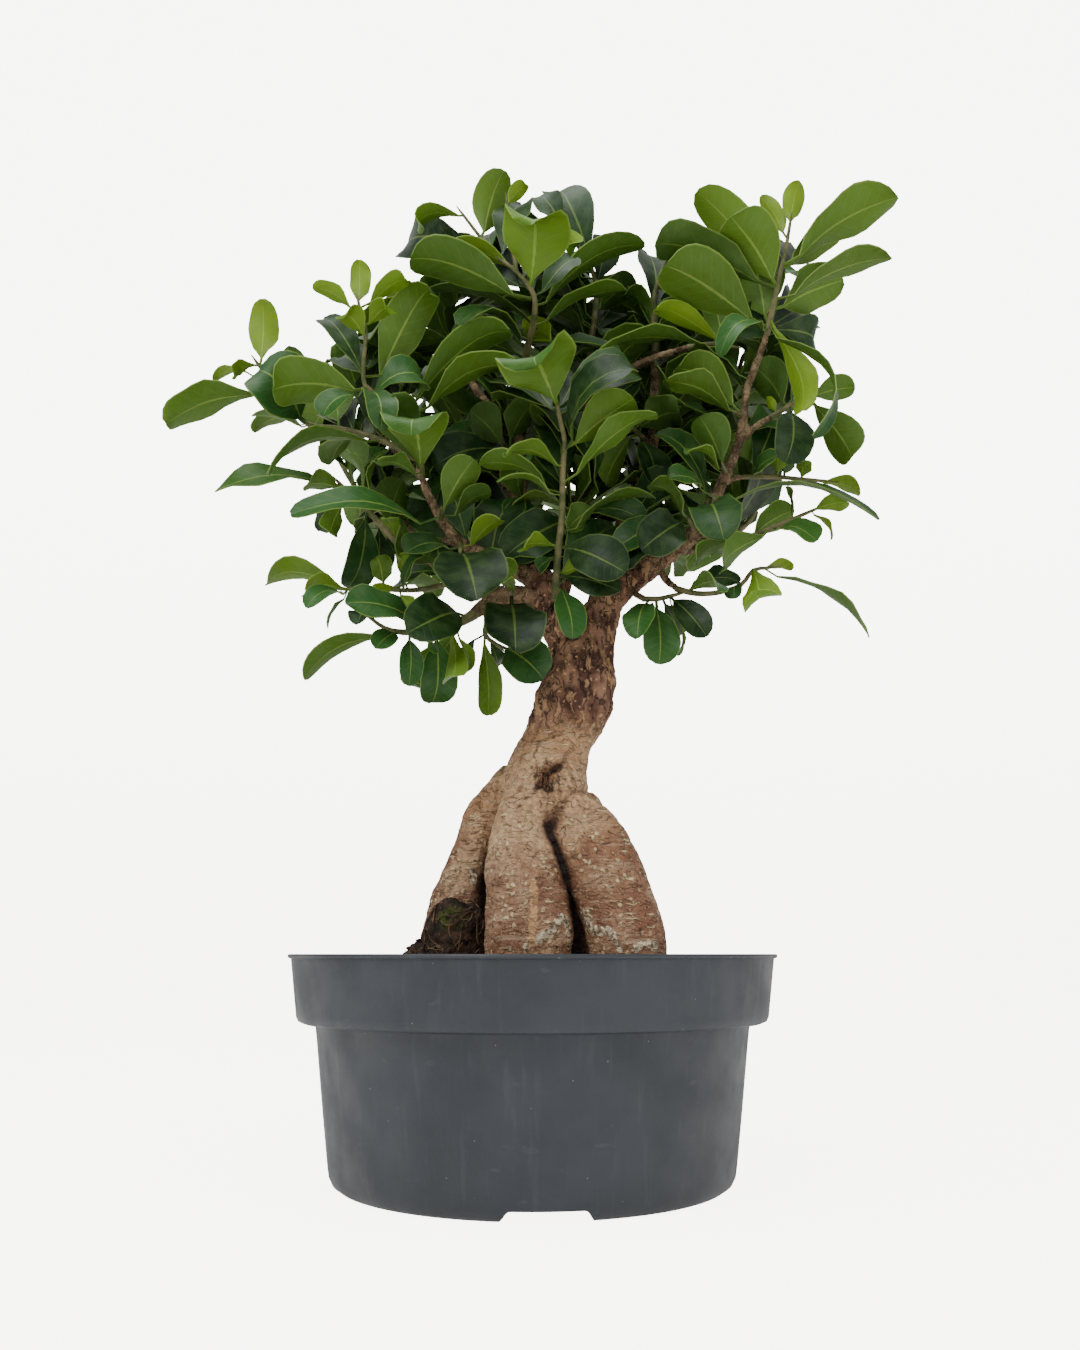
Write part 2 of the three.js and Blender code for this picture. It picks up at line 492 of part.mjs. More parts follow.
// Branches behind the tree: the wood as far as the row with index cut, then a leafy stem
const HIDDEN_STEMS = [
  { name: "shoot_back_1", cut: 2, count: 6, stem: [[21, 285, 26, 3], [30, 300, 50, 2.4], [40, 318, 72, 2],
    [47, 336, 88, 1.5], [50, 356, 98, 1]] },
  { name: "shoot_back_2", cut: 2, count: 6, stem: [[-6, 290, 21, 2.8], [-18, 302, 44, 2.3],
    [-30, 318, 62, 1.9], [-40, 336, 78, 1.4], [-46, 356, 90, 1]] },
  { name: "shoot_back_3", cut: 2, count: 5, stem: [[51, 303, 24, 2.6], [66, 312, 40, 2.2], [80, 325, 54, 1.8],
    [92, 341, 66, 1.4], [98, 360, 74, 1]] },
  { name: "shoot_back_4", cut: 2, count: 5, stem: [[-7, 320, 24, 2.4], [-22, 338, 42, 2], [-34, 356, 56, 1.6],
    [-44, 375, 66, 1.3], [-48, 394, 72, 1]] },
  { name: "shoot_back_5", cut: 2, count: 6, stem: [[25, 308, 32, 2.4], [22, 330, 58, 2], [18, 348, 80, 1.7],
    [14, 364, 92, 1.3], [10, 380, 98, 1]] },
  { name: "shoot_back_6", cut: 2, count: 5, stem: [[-33, 269, 0, 2.2], [-50, 273, 28, 2], [-66, 282, 48, 1.7],
    [-80, 294, 62, 1.3], [-90, 310, 72, 1]] },
  { name: "shoot_back_7", cut: 2, count: 4, stem: [[62, 265, -2, 2.4], [73, 266, 24, 2], [84, 270, 44, 1.7],
    [96, 277, 58, 1.3], [104, 290, 68, 1]] },
  { name: "shoot_back_8", cut: 2, count: 5, stem: [[56, 325, 26, 2.2], [68, 345, 44, 1.9], [78, 363, 56, 1.6],
    [88, 382, 62, 1.2], [92, 402, 64, 1]] },
  { name: "shoot_back_9", cut: 2, count: 4, stem: [[1, 257, 13, 2.8], [-8, 262, 38, 2.2], [-16, 270, 62, 1.8],
    [-22, 282, 82, 1.4], [-24, 298, 96, 1]] },
  { name: "shoot_back_10", cut: 2, count: 4, stem: [[16, 262, 18, 2.6], [32, 266, 42, 2], [44, 274, 64, 1.7],
    [54, 286, 80, 1.3], [60, 302, 92, 1]] },
  { name: "shoot_back_11", cut: 2, count: 5, stem: [[-51, 300, -8, 1.7], [-64, 314, 16, 1.5],
    [-76, 330, 34, 1.3], [-84, 346, 46, 1.1], [-88, 362, 54, 0.9]] },
];

// The outline of the dense crown as it shows, which the leaves behind the tree stay within
const CROWN = [[-112, 335], [-96, 366], [-70, 385], [-50, 405], [-28, 430], [2, 442], [28, 436],
  [46, 408], [72, 426], [104, 442], [124, 420], [138, 396], [130, 360], [128, 335], [118, 316],
  [112, 290], [96, 266], [74, 256], [52, 246], [34, 250], [14, 252], [-12, 256], [-30, 246], [-54, 236],
  [-74, 250], [-88, 290], [-100, 312]];

// Reproducible random numbers from 0 to 1
function randomSource(seed) {
  let state = seed;
  return () => {
    state = (state + 0x6d2b79f5) >>> 0;
    let t = Math.imul(state ^ (state >>> 15), state | 1);
    t = (t ^ (t + Math.imul(t ^ (t >>> 7), t | 61))) >>> 0;
    return ((t ^ (t >>> 14)) >>> 0) / 4294967296;
  };
}

// Solids
function asSolid(geometry) {
  const bare = geometry.clone();
  bare.deleteAttribute("normal");
  bare.deleteAttribute("uv");
  const merged = mergeVertices(bare, 1e-4);
  const vertProperties = new Float32Array(merged.getAttribute("position").array);
  const triVerts = new Uint32Array(merged.index.array);
  return new wasm.Manifold(new wasm.Mesh({ numProp: 3, vertProperties, triVerts }));
}

function asGeometry(solid) {
  const mesh = solid.getMesh();
  const stride = mesh.numProp;
  const count = mesh.vertProperties.length / stride;
  const position = new Float32Array(count * 3);
  for (let i = 0; i < count; i++) {
    position.set(mesh.vertProperties.subarray(i * stride, i * stride + 3), i * 3);
  }
  const geometry = new THREE.BufferGeometry();
  geometry.setAttribute("position", new THREE.BufferAttribute(position, 3));
  geometry.setIndex(new THREE.BufferAttribute(new Uint32Array(mesh.triVerts), 1));
  geometry.computeVertexNormals();
  return geometry;
}

// A closed body through rings of equal count, with flat caps or a pointed end
function skinned(rings, point) {
  const sides = rings[0].length;
  const vertices = rings.flat();
  const faces = [];
  for (let r = 0; r + 1 < rings.length; r++) {
    for (let s = 0; s < sides; s++) {
      const a = r * sides + s;
      const b = r * sides + ((s + 1) % sides);
      faces.push(a, b, b + sides, a, b + sides, a + sides);
    }
  }
  for (let s = 2; s < sides; s++) {
    faces.push(1, (s + 1) % sides, s);
  }
  const last = (rings.length - 1) * sides;
  if (point) {
    vertices.push(point);
    for (let s = 0; s < sides; s++) {
      faces.push(last + s, last + ((s + 1) % sides), vertices.length - 1);
    }
  } else {
    for (let s = 2; s < sides; s++) {
      faces.push(last + 1, last + s, last + ((s + 1) % sides));
    }
  }
  const geometry = new THREE.BufferGeometry();
  const numbers = vertices.flatMap((v) => [v.x, v.y, v.z]);
  geometry.setAttribute("position", new THREE.Float32BufferAttribute(numbers, 3));
  geometry.setIndex(faces);
  return asSolid(geometry);
}

// Points, directions and radii along a row of [x, z, depth, radius]
function stations(rows) {
  const points = rows.map(([x, z, depth]) => seen(x, z, depth));
  const radii = rows.map(([, , depth, radius]) => radius * widened(depth));
  const directions = points.map((p, i) => {
    const before = points[Math.max(i - 1, 0)];
    const after = points[Math.min(i + 1, points.length - 1)];
    return after.clone().sub(before).normalize();
  });
  return { points, radii, directions };
}

// A round limb between two stations of its row, with a gap left before its first face and
// radii grown by extra
function limb(rows, from, to, sides, gap, extra) {
  const { points, radii, directions } = stations(rows);
  let across = new THREE.Vector3(1, 0, 0);
  if (Math.abs(directions[0].x) > 0.9) across = new THREE.Vector3(0, 1, 0);
  const rings = [];
  for (let i = 0; i < points.length; i++) {
    const along = directions[i];
    across = across.clone().addScaledVector(along, -across.dot(along)).normalize();
    if (i < from || i > to) continue;
    const over = along.clone().cross(across);
    const centre = points[i].clone();
    if (i === from) centre.addScaledVector(along, gap);
    const ring = [];
    for (let s = 0; s < sides; s++) {
      const angle = (2 * Math.PI * s) / sides;
      let radius = radii[i] + extra;
      if (radii[i] > 8) radius *= 1 + 0.05 * Math.sin(3 * angle + i) + 0.03 * Math.sin(5 * angle - 2 * i);
      ring.push(
        centre
          .clone()
          .addScaledVector(across, Math.cos(angle) * radius)
          .addScaledVector(over, Math.sin(angle) * radius),
      );
    }
    rings.push(ring);
  }
  return skinned(rings);
}

// Solids fused into one, with any small hollow that this seals filled
function joined(solids) {
  const shells = solids.reduce((all, one) => all.add(one)).decompose();
  return shells.reduce((largest, shell) => (shell.volume() > largest.volume() ? shell : largest));
}

// Leaves
const BLADE_STATIONS = [
  [0.22, 0.7],
  [0.5, 1],
  [0.78, 0.76],
];
const SMALL_STATIONS = [
  [0.3, 0.86],
  [0.66, 0.92],
];

// The blade's middle line and the directions across it and out of its upper face
function bladeFrame(leaf, foot, tip) {
  const span = tip.clone().sub(foot);
  const length = span.length();
  const along = span.clone().divideScalar(length);
  let upper;
  if (leaf.turn === null) {
    upper = new THREE.Vector3(0, 0, 1).addScaledVector(along, -along.z).normalize();
  } else {
    const front = EYE.clone().sub(foot).normalize();
    front.addScaledVector(along, -front.dot(along)).normalize();
    const sky = along.clone().cross(front);
    const steep = Math.abs(sky.z) <= 0.15;
    if ((steep && sky.x < 0) || (!steep && sky.z < 0)) sky.negate();
    const turn = THREE.MathUtils.degToRad(leaf.turn);
    upper = front.multiplyScalar(Math.cos(turn)).addScaledVector(sky, Math.sin(turn));
  }
  const rise = leaf.arch * length * 4;
  const middle = (t) => foot.clone().addScaledVector(span, t).addScaledVector(upper, rise * t * (1 - t));
  const normal = (t) => {
    const run = span.clone().addScaledVector(upper, rise * (1 - 2 * t)).normalize();
    return upper.clone().addScaledVector(run, -upper.dot(run)).normalize();
  };
  return { length, middle, normal, across: along.clone().cross(upper) };
}

function bladeEdge(frame, width, t, share, side) {
  const half = (width / 2) * share;
  const fold = THREE.MathUtils.degToRad(FOLD);
  return frame
    .middle(t)
    .addScaledVector(frame.across, side * half * Math.cos(fold))
    .addScaledVector(frame.normal(t), Math.abs(side) * half * Math.sin(fold));
}

// The flat pieces on both sides of the midrib that stand for the blade when leaves are set
// clear of each other
function bladeSheet(frame, width) {
  const rows = [BLADE_FOOT, ...BLADE_STATIONS].map(([t, share]) => [
    bladeEdge(frame, width, t, share, -1),
    frame.middle(t),
    bladeEdge(frame, width, t, share, 1),
  ]);
  const tip = frame.middle(1);
  const sheet = [];
  for (let i = 0; i + 1 < rows.length; i++) {
    for (let j = 0; j < 2; j++) {
      sheet.push([rows[i][j], rows[i][j + 1], rows[i + 1][j]]);
      sheet.push([rows[i][j + 1], rows[i + 1][j + 1], rows[i + 1][j]]);
    }
  }
  const end = rows[rows.length - 1];
  sheet.push([end[0], end[1], tip], [end[1], end[2], tip]);
  return sheet;
}

// Points spread evenly over a blade
function bladePoints(frame, width) {
  const rows = Math.ceil(frame.length / POINT_SPACING);
  const columns = Math.ceil(width / POINT_SPACING);
  const points = [];
  for (let i = 1; i <= rows; i++) {
    const t = i / rows;
    const share = shareAt(t);
    for (let j = 0; j <= columns; j++) {
      const side = (2 * j) / columns - 1;
      points.push({ t, at: bladeEdge(frame, width, t, share, side) });
    }
  }
  return points;
}

// The blade's share of its full width at t along it
function shareAt(t) {
  const rows = [BLADE_FOOT, ...BLADE_STATIONS, [1, 0]];
  for (let i = 0; i + 1 < rows.length; i++) {
    if (t <= rows[i + 1][0]) {
      const part = (t - rows[i][0]) / (rows[i + 1][0] - rows[i][0]);
      return rows[i][1] + (rows[i + 1][1] - rows[i][1]) * part;
    }
  }
  return 0;
}

function alongSegment(p, a, b) {
  const run = b.clone().sub(a);
  const share = Math.min(1, Math.max(0, p.clone().sub(a).dot(run) / run.dot(run)));
  return { share, distance: p.distanceTo(a.clone().addScaledVector(run, share)) };
}

function distanceToTriangle(p, [a, b, c]) {
  const ab = b.clone().sub(a);
  const ac = c.clone().sub(a);
  const n = ab.clone().cross(ac);
  const area = n.dot(n);
  const ap = p.clone().sub(a);
  const v = n.dot(ap.clone().negate().cross(ac).negate()) / area;
  const w = n.dot(ab.clone().cross(ap)) / area;
  if (v >= 0 && w >= 0 && v + w <= 1) return Math.abs(n.dot(ap)) / Math.sqrt(area);
  const edges = [[a, b], [b, c], [c, a]];
  return Math.min(...edges.map(([from, to]) => alongSegment(p, from, to).distance));
}

// The nearest place on a leafy stem's middle line
function nearestOnStem(shoot, p) {
  let best = null;
  for (const line of shoot.lines) {
    for (let i = 0; i + 1 < line.length; i++) {
      const { share, distance } = alongSegment(p, line[i], line[i + 1]);
      if (!best || distance < best.distance - 1e-9) {
        best = { distance, at: line[i].clone().lerp(line[i + 1], share) };
      }
    }
  }
  return best.at;
}

// A leaf placed with its foot on the stem: a stalk, then the blade
function placed(shoot, leaf, swing) {
  const root = leaf.root;
  let tip;
  if (leaf.turn === null) {
    tip = leaf.tip.clone().sub(root).applyAxisAngle(leaf.axis, THREE.MathUtils.degToRad(swing * 4)).add(root);
  } else {
    tip = seen(leaf.tipX, leaf.tipZ, leaf.depth + leaf.reach + swing);
  }
  const span = tip.clone().sub(leaf.foot);
  const foot = leaf.foot.clone();
  if (leaf.foot.distanceTo(root) < SHORT_STALK) foot.addScaledVector(span, SHORT_STALK_SHARE);
  const frame = bladeFrame(leaf, foot, tip);
  const points = bladePoints(frame, leaf.width);
  const centre = foot.clone().lerp(tip, 0.5);
  const reach = Math.max(...points.map(({ at }) => at.distanceTo(centre)));
  return { shoot, leaf, root, foot, tip, frame, points, centre, reach, sheet: bladeSheet(frame, leaf.width) };
}

// Whether a leaf stands clear of the leaves already placed and of every stem
function isClear(candidate, others, stems) {
  const stalk = [0.5, 0.8].map((share) => candidate.root.clone().lerp(candidate.foot, share));
  for (const other of others) {
    const own = other.shoot === candidate.shoot;
    if (candidate.centre.distanceTo(other.centre) > candidate.reach + other.reach + LEAF_CLEARANCE) continue;
    const sheet = other.sheet;
    for (const { t, at } of candidate.points) {
      if (own && t < FREE_NEAR_LEAF) continue;
      for (const face of sheet) {
        if (distanceToTriangle(at, face) < LEAF_CLEARANCE) return false;
      }
    }
    if (own) continue;
    for (const at of stalk) {
      for (const face of sheet) {
        if (distanceToTriangle(at, face) < STEM_CLEARANCE) return false;
      }
    }
  }
  for (const stem of stems) {
    const own = stem.shoot === candidate.shoot;
    if (own && stem.stalk) continue;
    for (const { t, at } of candidate.points) {
      if (own && t < FREE_NEAR_STEM) continue;
      const { share, distance } = alongSegment(at, stem.a, stem.b);
      if (distance < stem.ra + (stem.rb - stem.ra) * share + STEM_CLEARANCE) return false;
    }
    if (own) continue;
    for (const at of stalk) {
      const { share, distance } = alongSegment(at, stem.a, stem.b);
      if (distance < stem.ra + (stem.rb - stem.ra) * share + STEM_CLEARANCE) return false;
    }
  }
  return true;
}

function insideCrown(x, z) {
  let inside = false;
  for (let i = 0, j = CROWN.length - 1; i < CROWN.length; j = i++) {
    const [xi, zi] = CROWN[i];
    const [xj, zj] = CROWN[j];
    if (zi > z !== zj > z && x < ((xj - xi) * (z - zi)) / (zj - zi) + xi) inside = !inside;
  }
  return inside;
}

// Leaves on the hidden stems: each is turned on round the stem from the last, leaning
// outward and up
function hiddenLeaves(shoot, count, random) {
  const line = shoot.lines[0];
  const leaves = [];
  for (let i = 0; i < count; i++) {
    const place = 0.2 + ((i + 0.5) / count) * 0.8;
    const step = Math.min(place, 0.999) * (line.length - 1);
    const at = Math.floor(step);
    const root = line[at].clone().lerp(line[at + 1], step - at);
    const along = line[at + 1].clone().sub(line[at]).normalize();
    const out = new THREE.Vector3(0, 0, 1);
    out.addScaledVector(along, -along.z).normalize();
    out.applyAxisAngle(along, THREE.MathUtils.degToRad(i * LEAF_ANGLE + 40 * random()));
    const length = 36 + 22 * random();
    const direction = out.addScaledVector(along, 0.5).add(new THREE.Vector3(0, 0, 0.1)).normalize();
    const tip = root.clone().addScaledVector(direction, length);
    const age = 0.1 + 0.4 * random() + (i === count - 1 ? 0.4 : 0);
    leaves.push({ root, foot: root, tip, axis: along, width: length * 0.4, turn: null, arch: 0.14, age });
  }
  return leaves;
}

// The leafy stems' middle lines, and every stem as a row of round segments
const shoots = [...LEAFY_STEMS, ...HIDDEN_STEMS].map((data) => {
  const { points, directions } = stations(data.stem);
  const line = points.slice(data.cut);
  line[0] = line[0].clone().addScaledVector(directions[data.cut], STALK_SETBACK);
  const lines = [line];
  if (data.side) lines.push(stations(data.side).points);
  return { ...data, lines };
});

const stems = [];
function addSegments(rows, from, to, shoot) {
  const { points, radii } = stations(rows);
  for (let i = from; i < to; i++) {
    stems.push({ a: points[i], b: points[i + 1], ra: radii[i], rb: radii[i + 1], shoot, stalk: false });
  }
}
for (const rows of [...ROOTS_AND_TRUNK, ...BRANCHES]) addSegments(rows, 0, rows.length - 1, null);
for (const shoot of shoots) {
  addSegments(shoot.stem, 0, shoot.cut, null);
  addSegments(shoot.stem, shoot.cut, shoot.stem.length - 1, shoot);
  if (shoot.side) addSegments(shoot.side, 0, shoot.side.length - 1, shoot);
}

// Front leaves are set from the front of the crown to its back, and then the leaves behind the tree
const waiting = [];
for (const shoot of shoots.slice(0, LEAFY_STEMS.length)) {
  for (const [footX, footZ, tipX, tipZ, reach, width, turn, arch, age] of shoot.leaves) {
    const rough = nearestOnStem(shoot, seen(footX, footZ, shoot.stem[shoot.cut][2]));
    const foot = seen(footX, footZ, rough.y);
    const root = nearestOnStem(shoot, foot);
    const leaf = { root, foot, depth: foot.y, tipX, tipZ, reach, width, turn, arch, age };
    waiting.push({ shoot, leaf, order: foot.y + reach / 2 });
  }
}
waiting.sort((a, b) => a.order - b.order);
const random = randomSource(SEED);
for (const shoot of shoots.slice(LEAFY_STEMS.length)) {
  for (const leaf of hiddenLeaves(shoot, shoot.count, random)) waiting.push({ shoot, leaf });
}

const SWINGS = [0, 5, -5, 10, -10, 15, -15, 21, -21, 28, -28, 36, -36, 45, -45];
const growing = [];
for (const { shoot, leaf } of waiting) {
  for (const swing of SWINGS) {
    const candidate = placed(shoot, leaf, swing);
    const k = widened(candidate.tip.y);
    const shownX = EYE.x + (candidate.tip.x - EYE.x) / k;
    const shownZ = EYE.z + (candidate.tip.z - EYE.z) / k;
    if (leaf.turn === null && (candidate.tip.z > CROWN_TOP || !insideCrown(shownX, shownZ))) continue;
    if (!isClear(candidate, growing, stems)) continue;
    growing.push(candidate);
    const { root, foot } = candidate;
    stems.push({ a: root, b: foot, ra: STALK_RADIUS, rb: STALK_RADIUS, shoot, stalk: true });
    break;
  }
}

// One leaf: the stalk's root sunk in the stem, the blade's foot, three stations and the tip
function leafSolid({ leaf, root, foot, frame }) {
  const toBlade = foot.clone().sub(root).normalize();
  const sideways = frame.across.clone().addScaledVector(toBlade, -frame.across.dot(toBlade)).normalize();
  const over = sideways.clone().cross(toBlade);
  const rootRing = [
    root.clone().addScaledVector(sideways, -STALK_ROOT_HALF[0]),
    root.clone().addScaledVector(over, STALK_ROOT_HALF[1]),
    root.clone().addScaledVector(sideways, STALK_ROOT_HALF[0]),
    root.clone().addScaledVector(over, -STALK_ROOT_HALF[1]),
  ];
  const rings = [rootRing];
  const cuts = leaf.width < SMALL_LEAF ? [...SMALL_STATIONS] : [...BLADE_STATIONS];
  if (leaf.foot.distanceTo(root) >= SHORT_STALK) cuts.unshift(BLADE_FOOT);
  for (const [t, share] of cuts) {
    const normal = frame.normal(t);
    rings.push([
      bladeEdge(frame, leaf.width, t, share, -1),
      frame.middle(t).addScaledVector(normal, BLADE_HALF),
      bladeEdge(frame, leaf.width, t, share, 1),
      frame.middle(t).addScaledVector(normal, -BLADE_HALF),
    ]);
  }
  return skinned(rings, frame.middle(1));
}

// Pot: a lathed wall and floor, with foot channels below and drain holes
function turned(profile) {
  const lathe = new THREE.LatheGeometry(profile.map(([r, z]) => new THREE.Vector2(r, z)), POT_SIDES);
  lathe.rotateX(Math.PI / 2);
  return asSolid(lathe);
}

const outer = [
  [0, 0],
  [BASE_RADIUS, 0],
  [BASE_RADIUS + 4.2, 2],
  [BASE_RADIUS + 6, 7],
  [BODY_TOP_RADIUS, COLLAR_FOOT],
  [COLLAR_RADIUS - 2.2, COLLAR_FOOT],
  [COLLAR_RADIUS, COLLAR_FOOT + 2.4],
  [RIM_RADIUS - 1.2, POT_HEIGHT - 2],
  [RIM_RADIUS, POT_HEIGHT - 0.9],
  [RIM_RADIUS - 0.5, POT_HEIGHT],
];
const inner = [
  [RIM_RADIUS - 2.1, POT_HEIGHT],
  [RIM_RADIUS - 2.9, POT_HEIGHT - 2.5],
  [COLLAR_RADIUS - WALL, COLLAR_FOOT + 3],
  [BODY_TOP_RADIUS - WALL, COLLAR_FOOT + WALL],
  [BASE_RADIUS + 3, FLOOR_TOP],
];
let potSolid = turned([...outer, ...inner, [0, FLOOR_TOP]]);
for (let i = 0; i < 4; i++) {
  const section = new THREE.Shape([
    new THREE.Vector2(-CHANNEL_WIDTH / 2, -1),
    new THREE.Vector2(CHANNEL_WIDTH / 2, -1),
    new THREE.Vector2(CHANNEL_TOP_WIDTH / 2 + 1.5, CHANNEL_HEIGHT - 1.5),
    new THREE.Vector2(CHANNEL_TOP_WIDTH / 2 - 1, CHANNEL_HEIGHT),
    new THREE.Vector2(1 - CHANNEL_TOP_WIDTH / 2, CHANNEL_HEIGHT),
    new THREE.Vector2(-1.5 - CHANNEL_TOP_WIDTH / 2, CHANNEL_HEIGHT - 1.5),
  ]);
  const depth = RIM_RADIUS - CHANNEL_START;
  const channel = new THREE.ExtrudeGeometry(section, { depth, bevelEnabled: false });
  channel.rotateX(Math.PI / 2);
  channel.translate(0, -CHANNEL_START, 0);
  channel.rotateZ(THREE.MathUtils.degToRad(CHANNEL_TURN + 90 * i));
  potSolid = potSolid.subtract(asSolid(channel));
  for (const reach of DRAIN_REACHES) {
    const drain = new THREE.CylinderGeometry(DRAIN_RADIUS, DRAIN_RADIUS, 2 * FLOOR_TOP, DRAIN_SIDES);
    drain.rotateX(Math.PI / 2);
    drain.translate(0, -reach, FLOOR_TOP / 2);
    drain.rotateZ(THREE.MathUtils.degToRad(CHANNEL_TURN + 90 * i));
    potSolid = potSolid.subtract(asSolid(drain));
  }
}

// Trunk with its roots and bare branches, grown as one piece
function woodSolid(extra) {
  const limbs = ROOTS_AND_TRUNK.map((rows) => limb(rows, 0, rows.length - 1, ROOT_SIDES, 0, extra));
  if (extra > 0) return joined(limbs);
  for (const rows of BRANCHES) limbs.push(limb(rows, 0, rows.length - 1, rows[0][3] > 6 ? 8 : 6, 0, 0));
  for (const shoot of shoots) limbs.push(limb(shoot.stem, 0, shoot.cut, TWIG_SIDES, 0, 0));
  return joined(limbs);
}
const wood = woodSolid(0);

// Soil: a filled top that rises round the roots, with a clod of fine roots on the left one
function soilHeight(x, y) {
  const near = Math.exp(-((x - 3) ** 2 + (y - 10) ** 2) / 2600);
  const mound = Math.exp(-((x + 46) ** 2 + (y - 10) ** 2) / 170);
  const lumps = 0.7 * Math.sin(x * 0.21 + 1) * Math.cos(y * 0.17) + 0.5 * Math.sin(x * 0.09 - y * 0.13);
  return SOIL_LEVEL + 4 * near + 16 * mound + lumps;
}

// Clod of fine roots that still clings to the left root
function clodSolid() {
  const clod = new THREE.SphereGeometry(1, 12, 8);
  const at = clod.attributes.position;
  for (let i = 0; i < at.count; i++) {
    const [x, y, z] = [at.getX(i), at.getY(i), at.getZ(i)];
    const lump = 1 + 0.07 * Math.sin(4 * x + 5 * z + 1) * Math.cos(5 * y) + 0.05 * Math.sin(7 * z + 3 * x);
    at.setXYZ(i, x * lump * CLOD_SIZE.x, y * lump * CLOD_SIZE.y, z * lump * CLOD_SIZE.z);
  }
  clod.translate(CLOD_PLACE.x, CLOD_PLACE.y, CLOD_PLACE.z);
  return asSolid(clod);
}

const soilSide = [
  [COLLAR_RADIUS - WALL + 1.6 - FIT_GAP, SOIL_LEVEL],
  [COLLAR_RADIUS - WALL - FIT_GAP, COLLAR_FOOT + 3 + FIT_GAP],
  [BODY_TOP_RADIUS - WALL - FIT_GAP, COLLAR_FOOT + WALL + FIT_GAP],
  [BASE_RADIUS + 3 - FIT_GAP, FLOOR_TOP + FIT_GAP],
];
function soilRing(radius, height) {
  const ring = [];
  for (let s = 0; s < POT_SIDES; s++) {
    const angle = (2 * Math.PI * s) / POT_SIDES;
    const x = Math.sin(angle) * radius;
    const y = Math.cos(angle) * radius;
    ring.push(new THREE.Vector3(x, y, height === null ? soilHeight(x, y) : height));
  }
  return ring.reverse();
}
const soilRings = soilSide.map(([radius, height]) => soilRing(radius, height)).reverse();
for (const radius of SOIL_RINGS) soilRings.push(soilRing(radius, null));
const soilBody = skinned(soilRings, new THREE.Vector3(0, 0, soilHeight(0, 0))).add(clodSolid());
const soilSolid = joined([soilBody.subtract(woodSolid(FIT_GAP))]);

// Materials
const palette = {
  pot: { color: 0x474c53, roughness: 0.55, metalness: 0 },
  soil: { color: 0x2a211b, roughness: 0.95, metalness: 0 },
  wood: { color: 0x8d7560, roughness: 0.85, metalness: 0 },
};
const darkLeaf = new THREE.Color(0x1f3812);
const youngLeaf = new THREE.Color(0x8fa41c);

const bonsai = new THREE.Group();
function addPiece(name, solid, look) {
  const mesh = new THREE.Mesh(asGeometry(solid), new THREE.MeshStandardMaterial(look));
  mesh.name = name;
  bonsai.add(mesh);
}
addPiece("pot", potSolid, palette.pot);
addPiece("soil", soilSolid, palette.soil);
addPiece("trunk", wood, palette.wood);
for (const shoot of shoots) {
  const own = growing.filter((one) => one.shoot === shoot);
  const bodies = [limb(shoot.stem, shoot.cut, shoot.stem.length - 1, TWIG_SIDES, FIT_GAP, 0)];
  if (shoot.side) bodies.push(limb(shoot.side, 0, shoot.side.length - 1, TWIG_SIDES, 0, 0));
  for (const one of own) bodies.push(leafSolid(one));
  const age = own.reduce((sum, one) => sum + one.leaf.age, 0) / Math.max(own.length, 1);
  const color = darkLeaf.clone().lerp(youngLeaf, age);
  addPiece(shoot.name, joined(bodies), { color, roughness: 0.4, metalness: 0, side: THREE.DoubleSide });
}

export default bonsai;
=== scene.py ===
# Ficus ginseng bonsai in a round nursery pot
import math
from dataclasses import dataclass

import bpy
import numpy as np
from bpy.props import FloatProperty, FloatVectorProperty, PointerProperty
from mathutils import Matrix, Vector, noise


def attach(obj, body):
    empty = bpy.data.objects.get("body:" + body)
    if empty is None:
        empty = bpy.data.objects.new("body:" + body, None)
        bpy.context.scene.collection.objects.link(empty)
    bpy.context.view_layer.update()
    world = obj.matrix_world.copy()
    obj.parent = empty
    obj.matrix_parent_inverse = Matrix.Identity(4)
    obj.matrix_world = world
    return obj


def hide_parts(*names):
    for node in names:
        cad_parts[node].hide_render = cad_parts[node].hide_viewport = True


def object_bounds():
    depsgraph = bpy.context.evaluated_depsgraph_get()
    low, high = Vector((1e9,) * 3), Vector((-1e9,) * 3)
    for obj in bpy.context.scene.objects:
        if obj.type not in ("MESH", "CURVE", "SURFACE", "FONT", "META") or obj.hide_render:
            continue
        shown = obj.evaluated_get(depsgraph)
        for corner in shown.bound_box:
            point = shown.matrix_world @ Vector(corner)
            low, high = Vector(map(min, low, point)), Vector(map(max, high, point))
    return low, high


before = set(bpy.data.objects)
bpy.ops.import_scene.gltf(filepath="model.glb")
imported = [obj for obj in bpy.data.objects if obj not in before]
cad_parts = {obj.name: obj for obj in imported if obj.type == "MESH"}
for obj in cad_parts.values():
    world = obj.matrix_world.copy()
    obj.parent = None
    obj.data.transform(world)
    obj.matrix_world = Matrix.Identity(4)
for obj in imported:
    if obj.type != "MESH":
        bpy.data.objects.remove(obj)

bl_info = {
    "name": "Ficus Bonsai",
    "version": (1, 0, 0),
    "blender": (4, 5, 0),
    "location": "3D View > Sidebar > Bonsai",
    "description": "Builds a small ficus bonsai with bare roots in its nursery pot",
    "category": "Add Mesh",
}

CAD_BOX = [list(corner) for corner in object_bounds()]
MM = 0.001

# The eye that the rows below are read from, in millimetres
EYE = np.array([3.0, -500.0, 88.0])
EYE_TILT = 13.44
LENS = 31.13

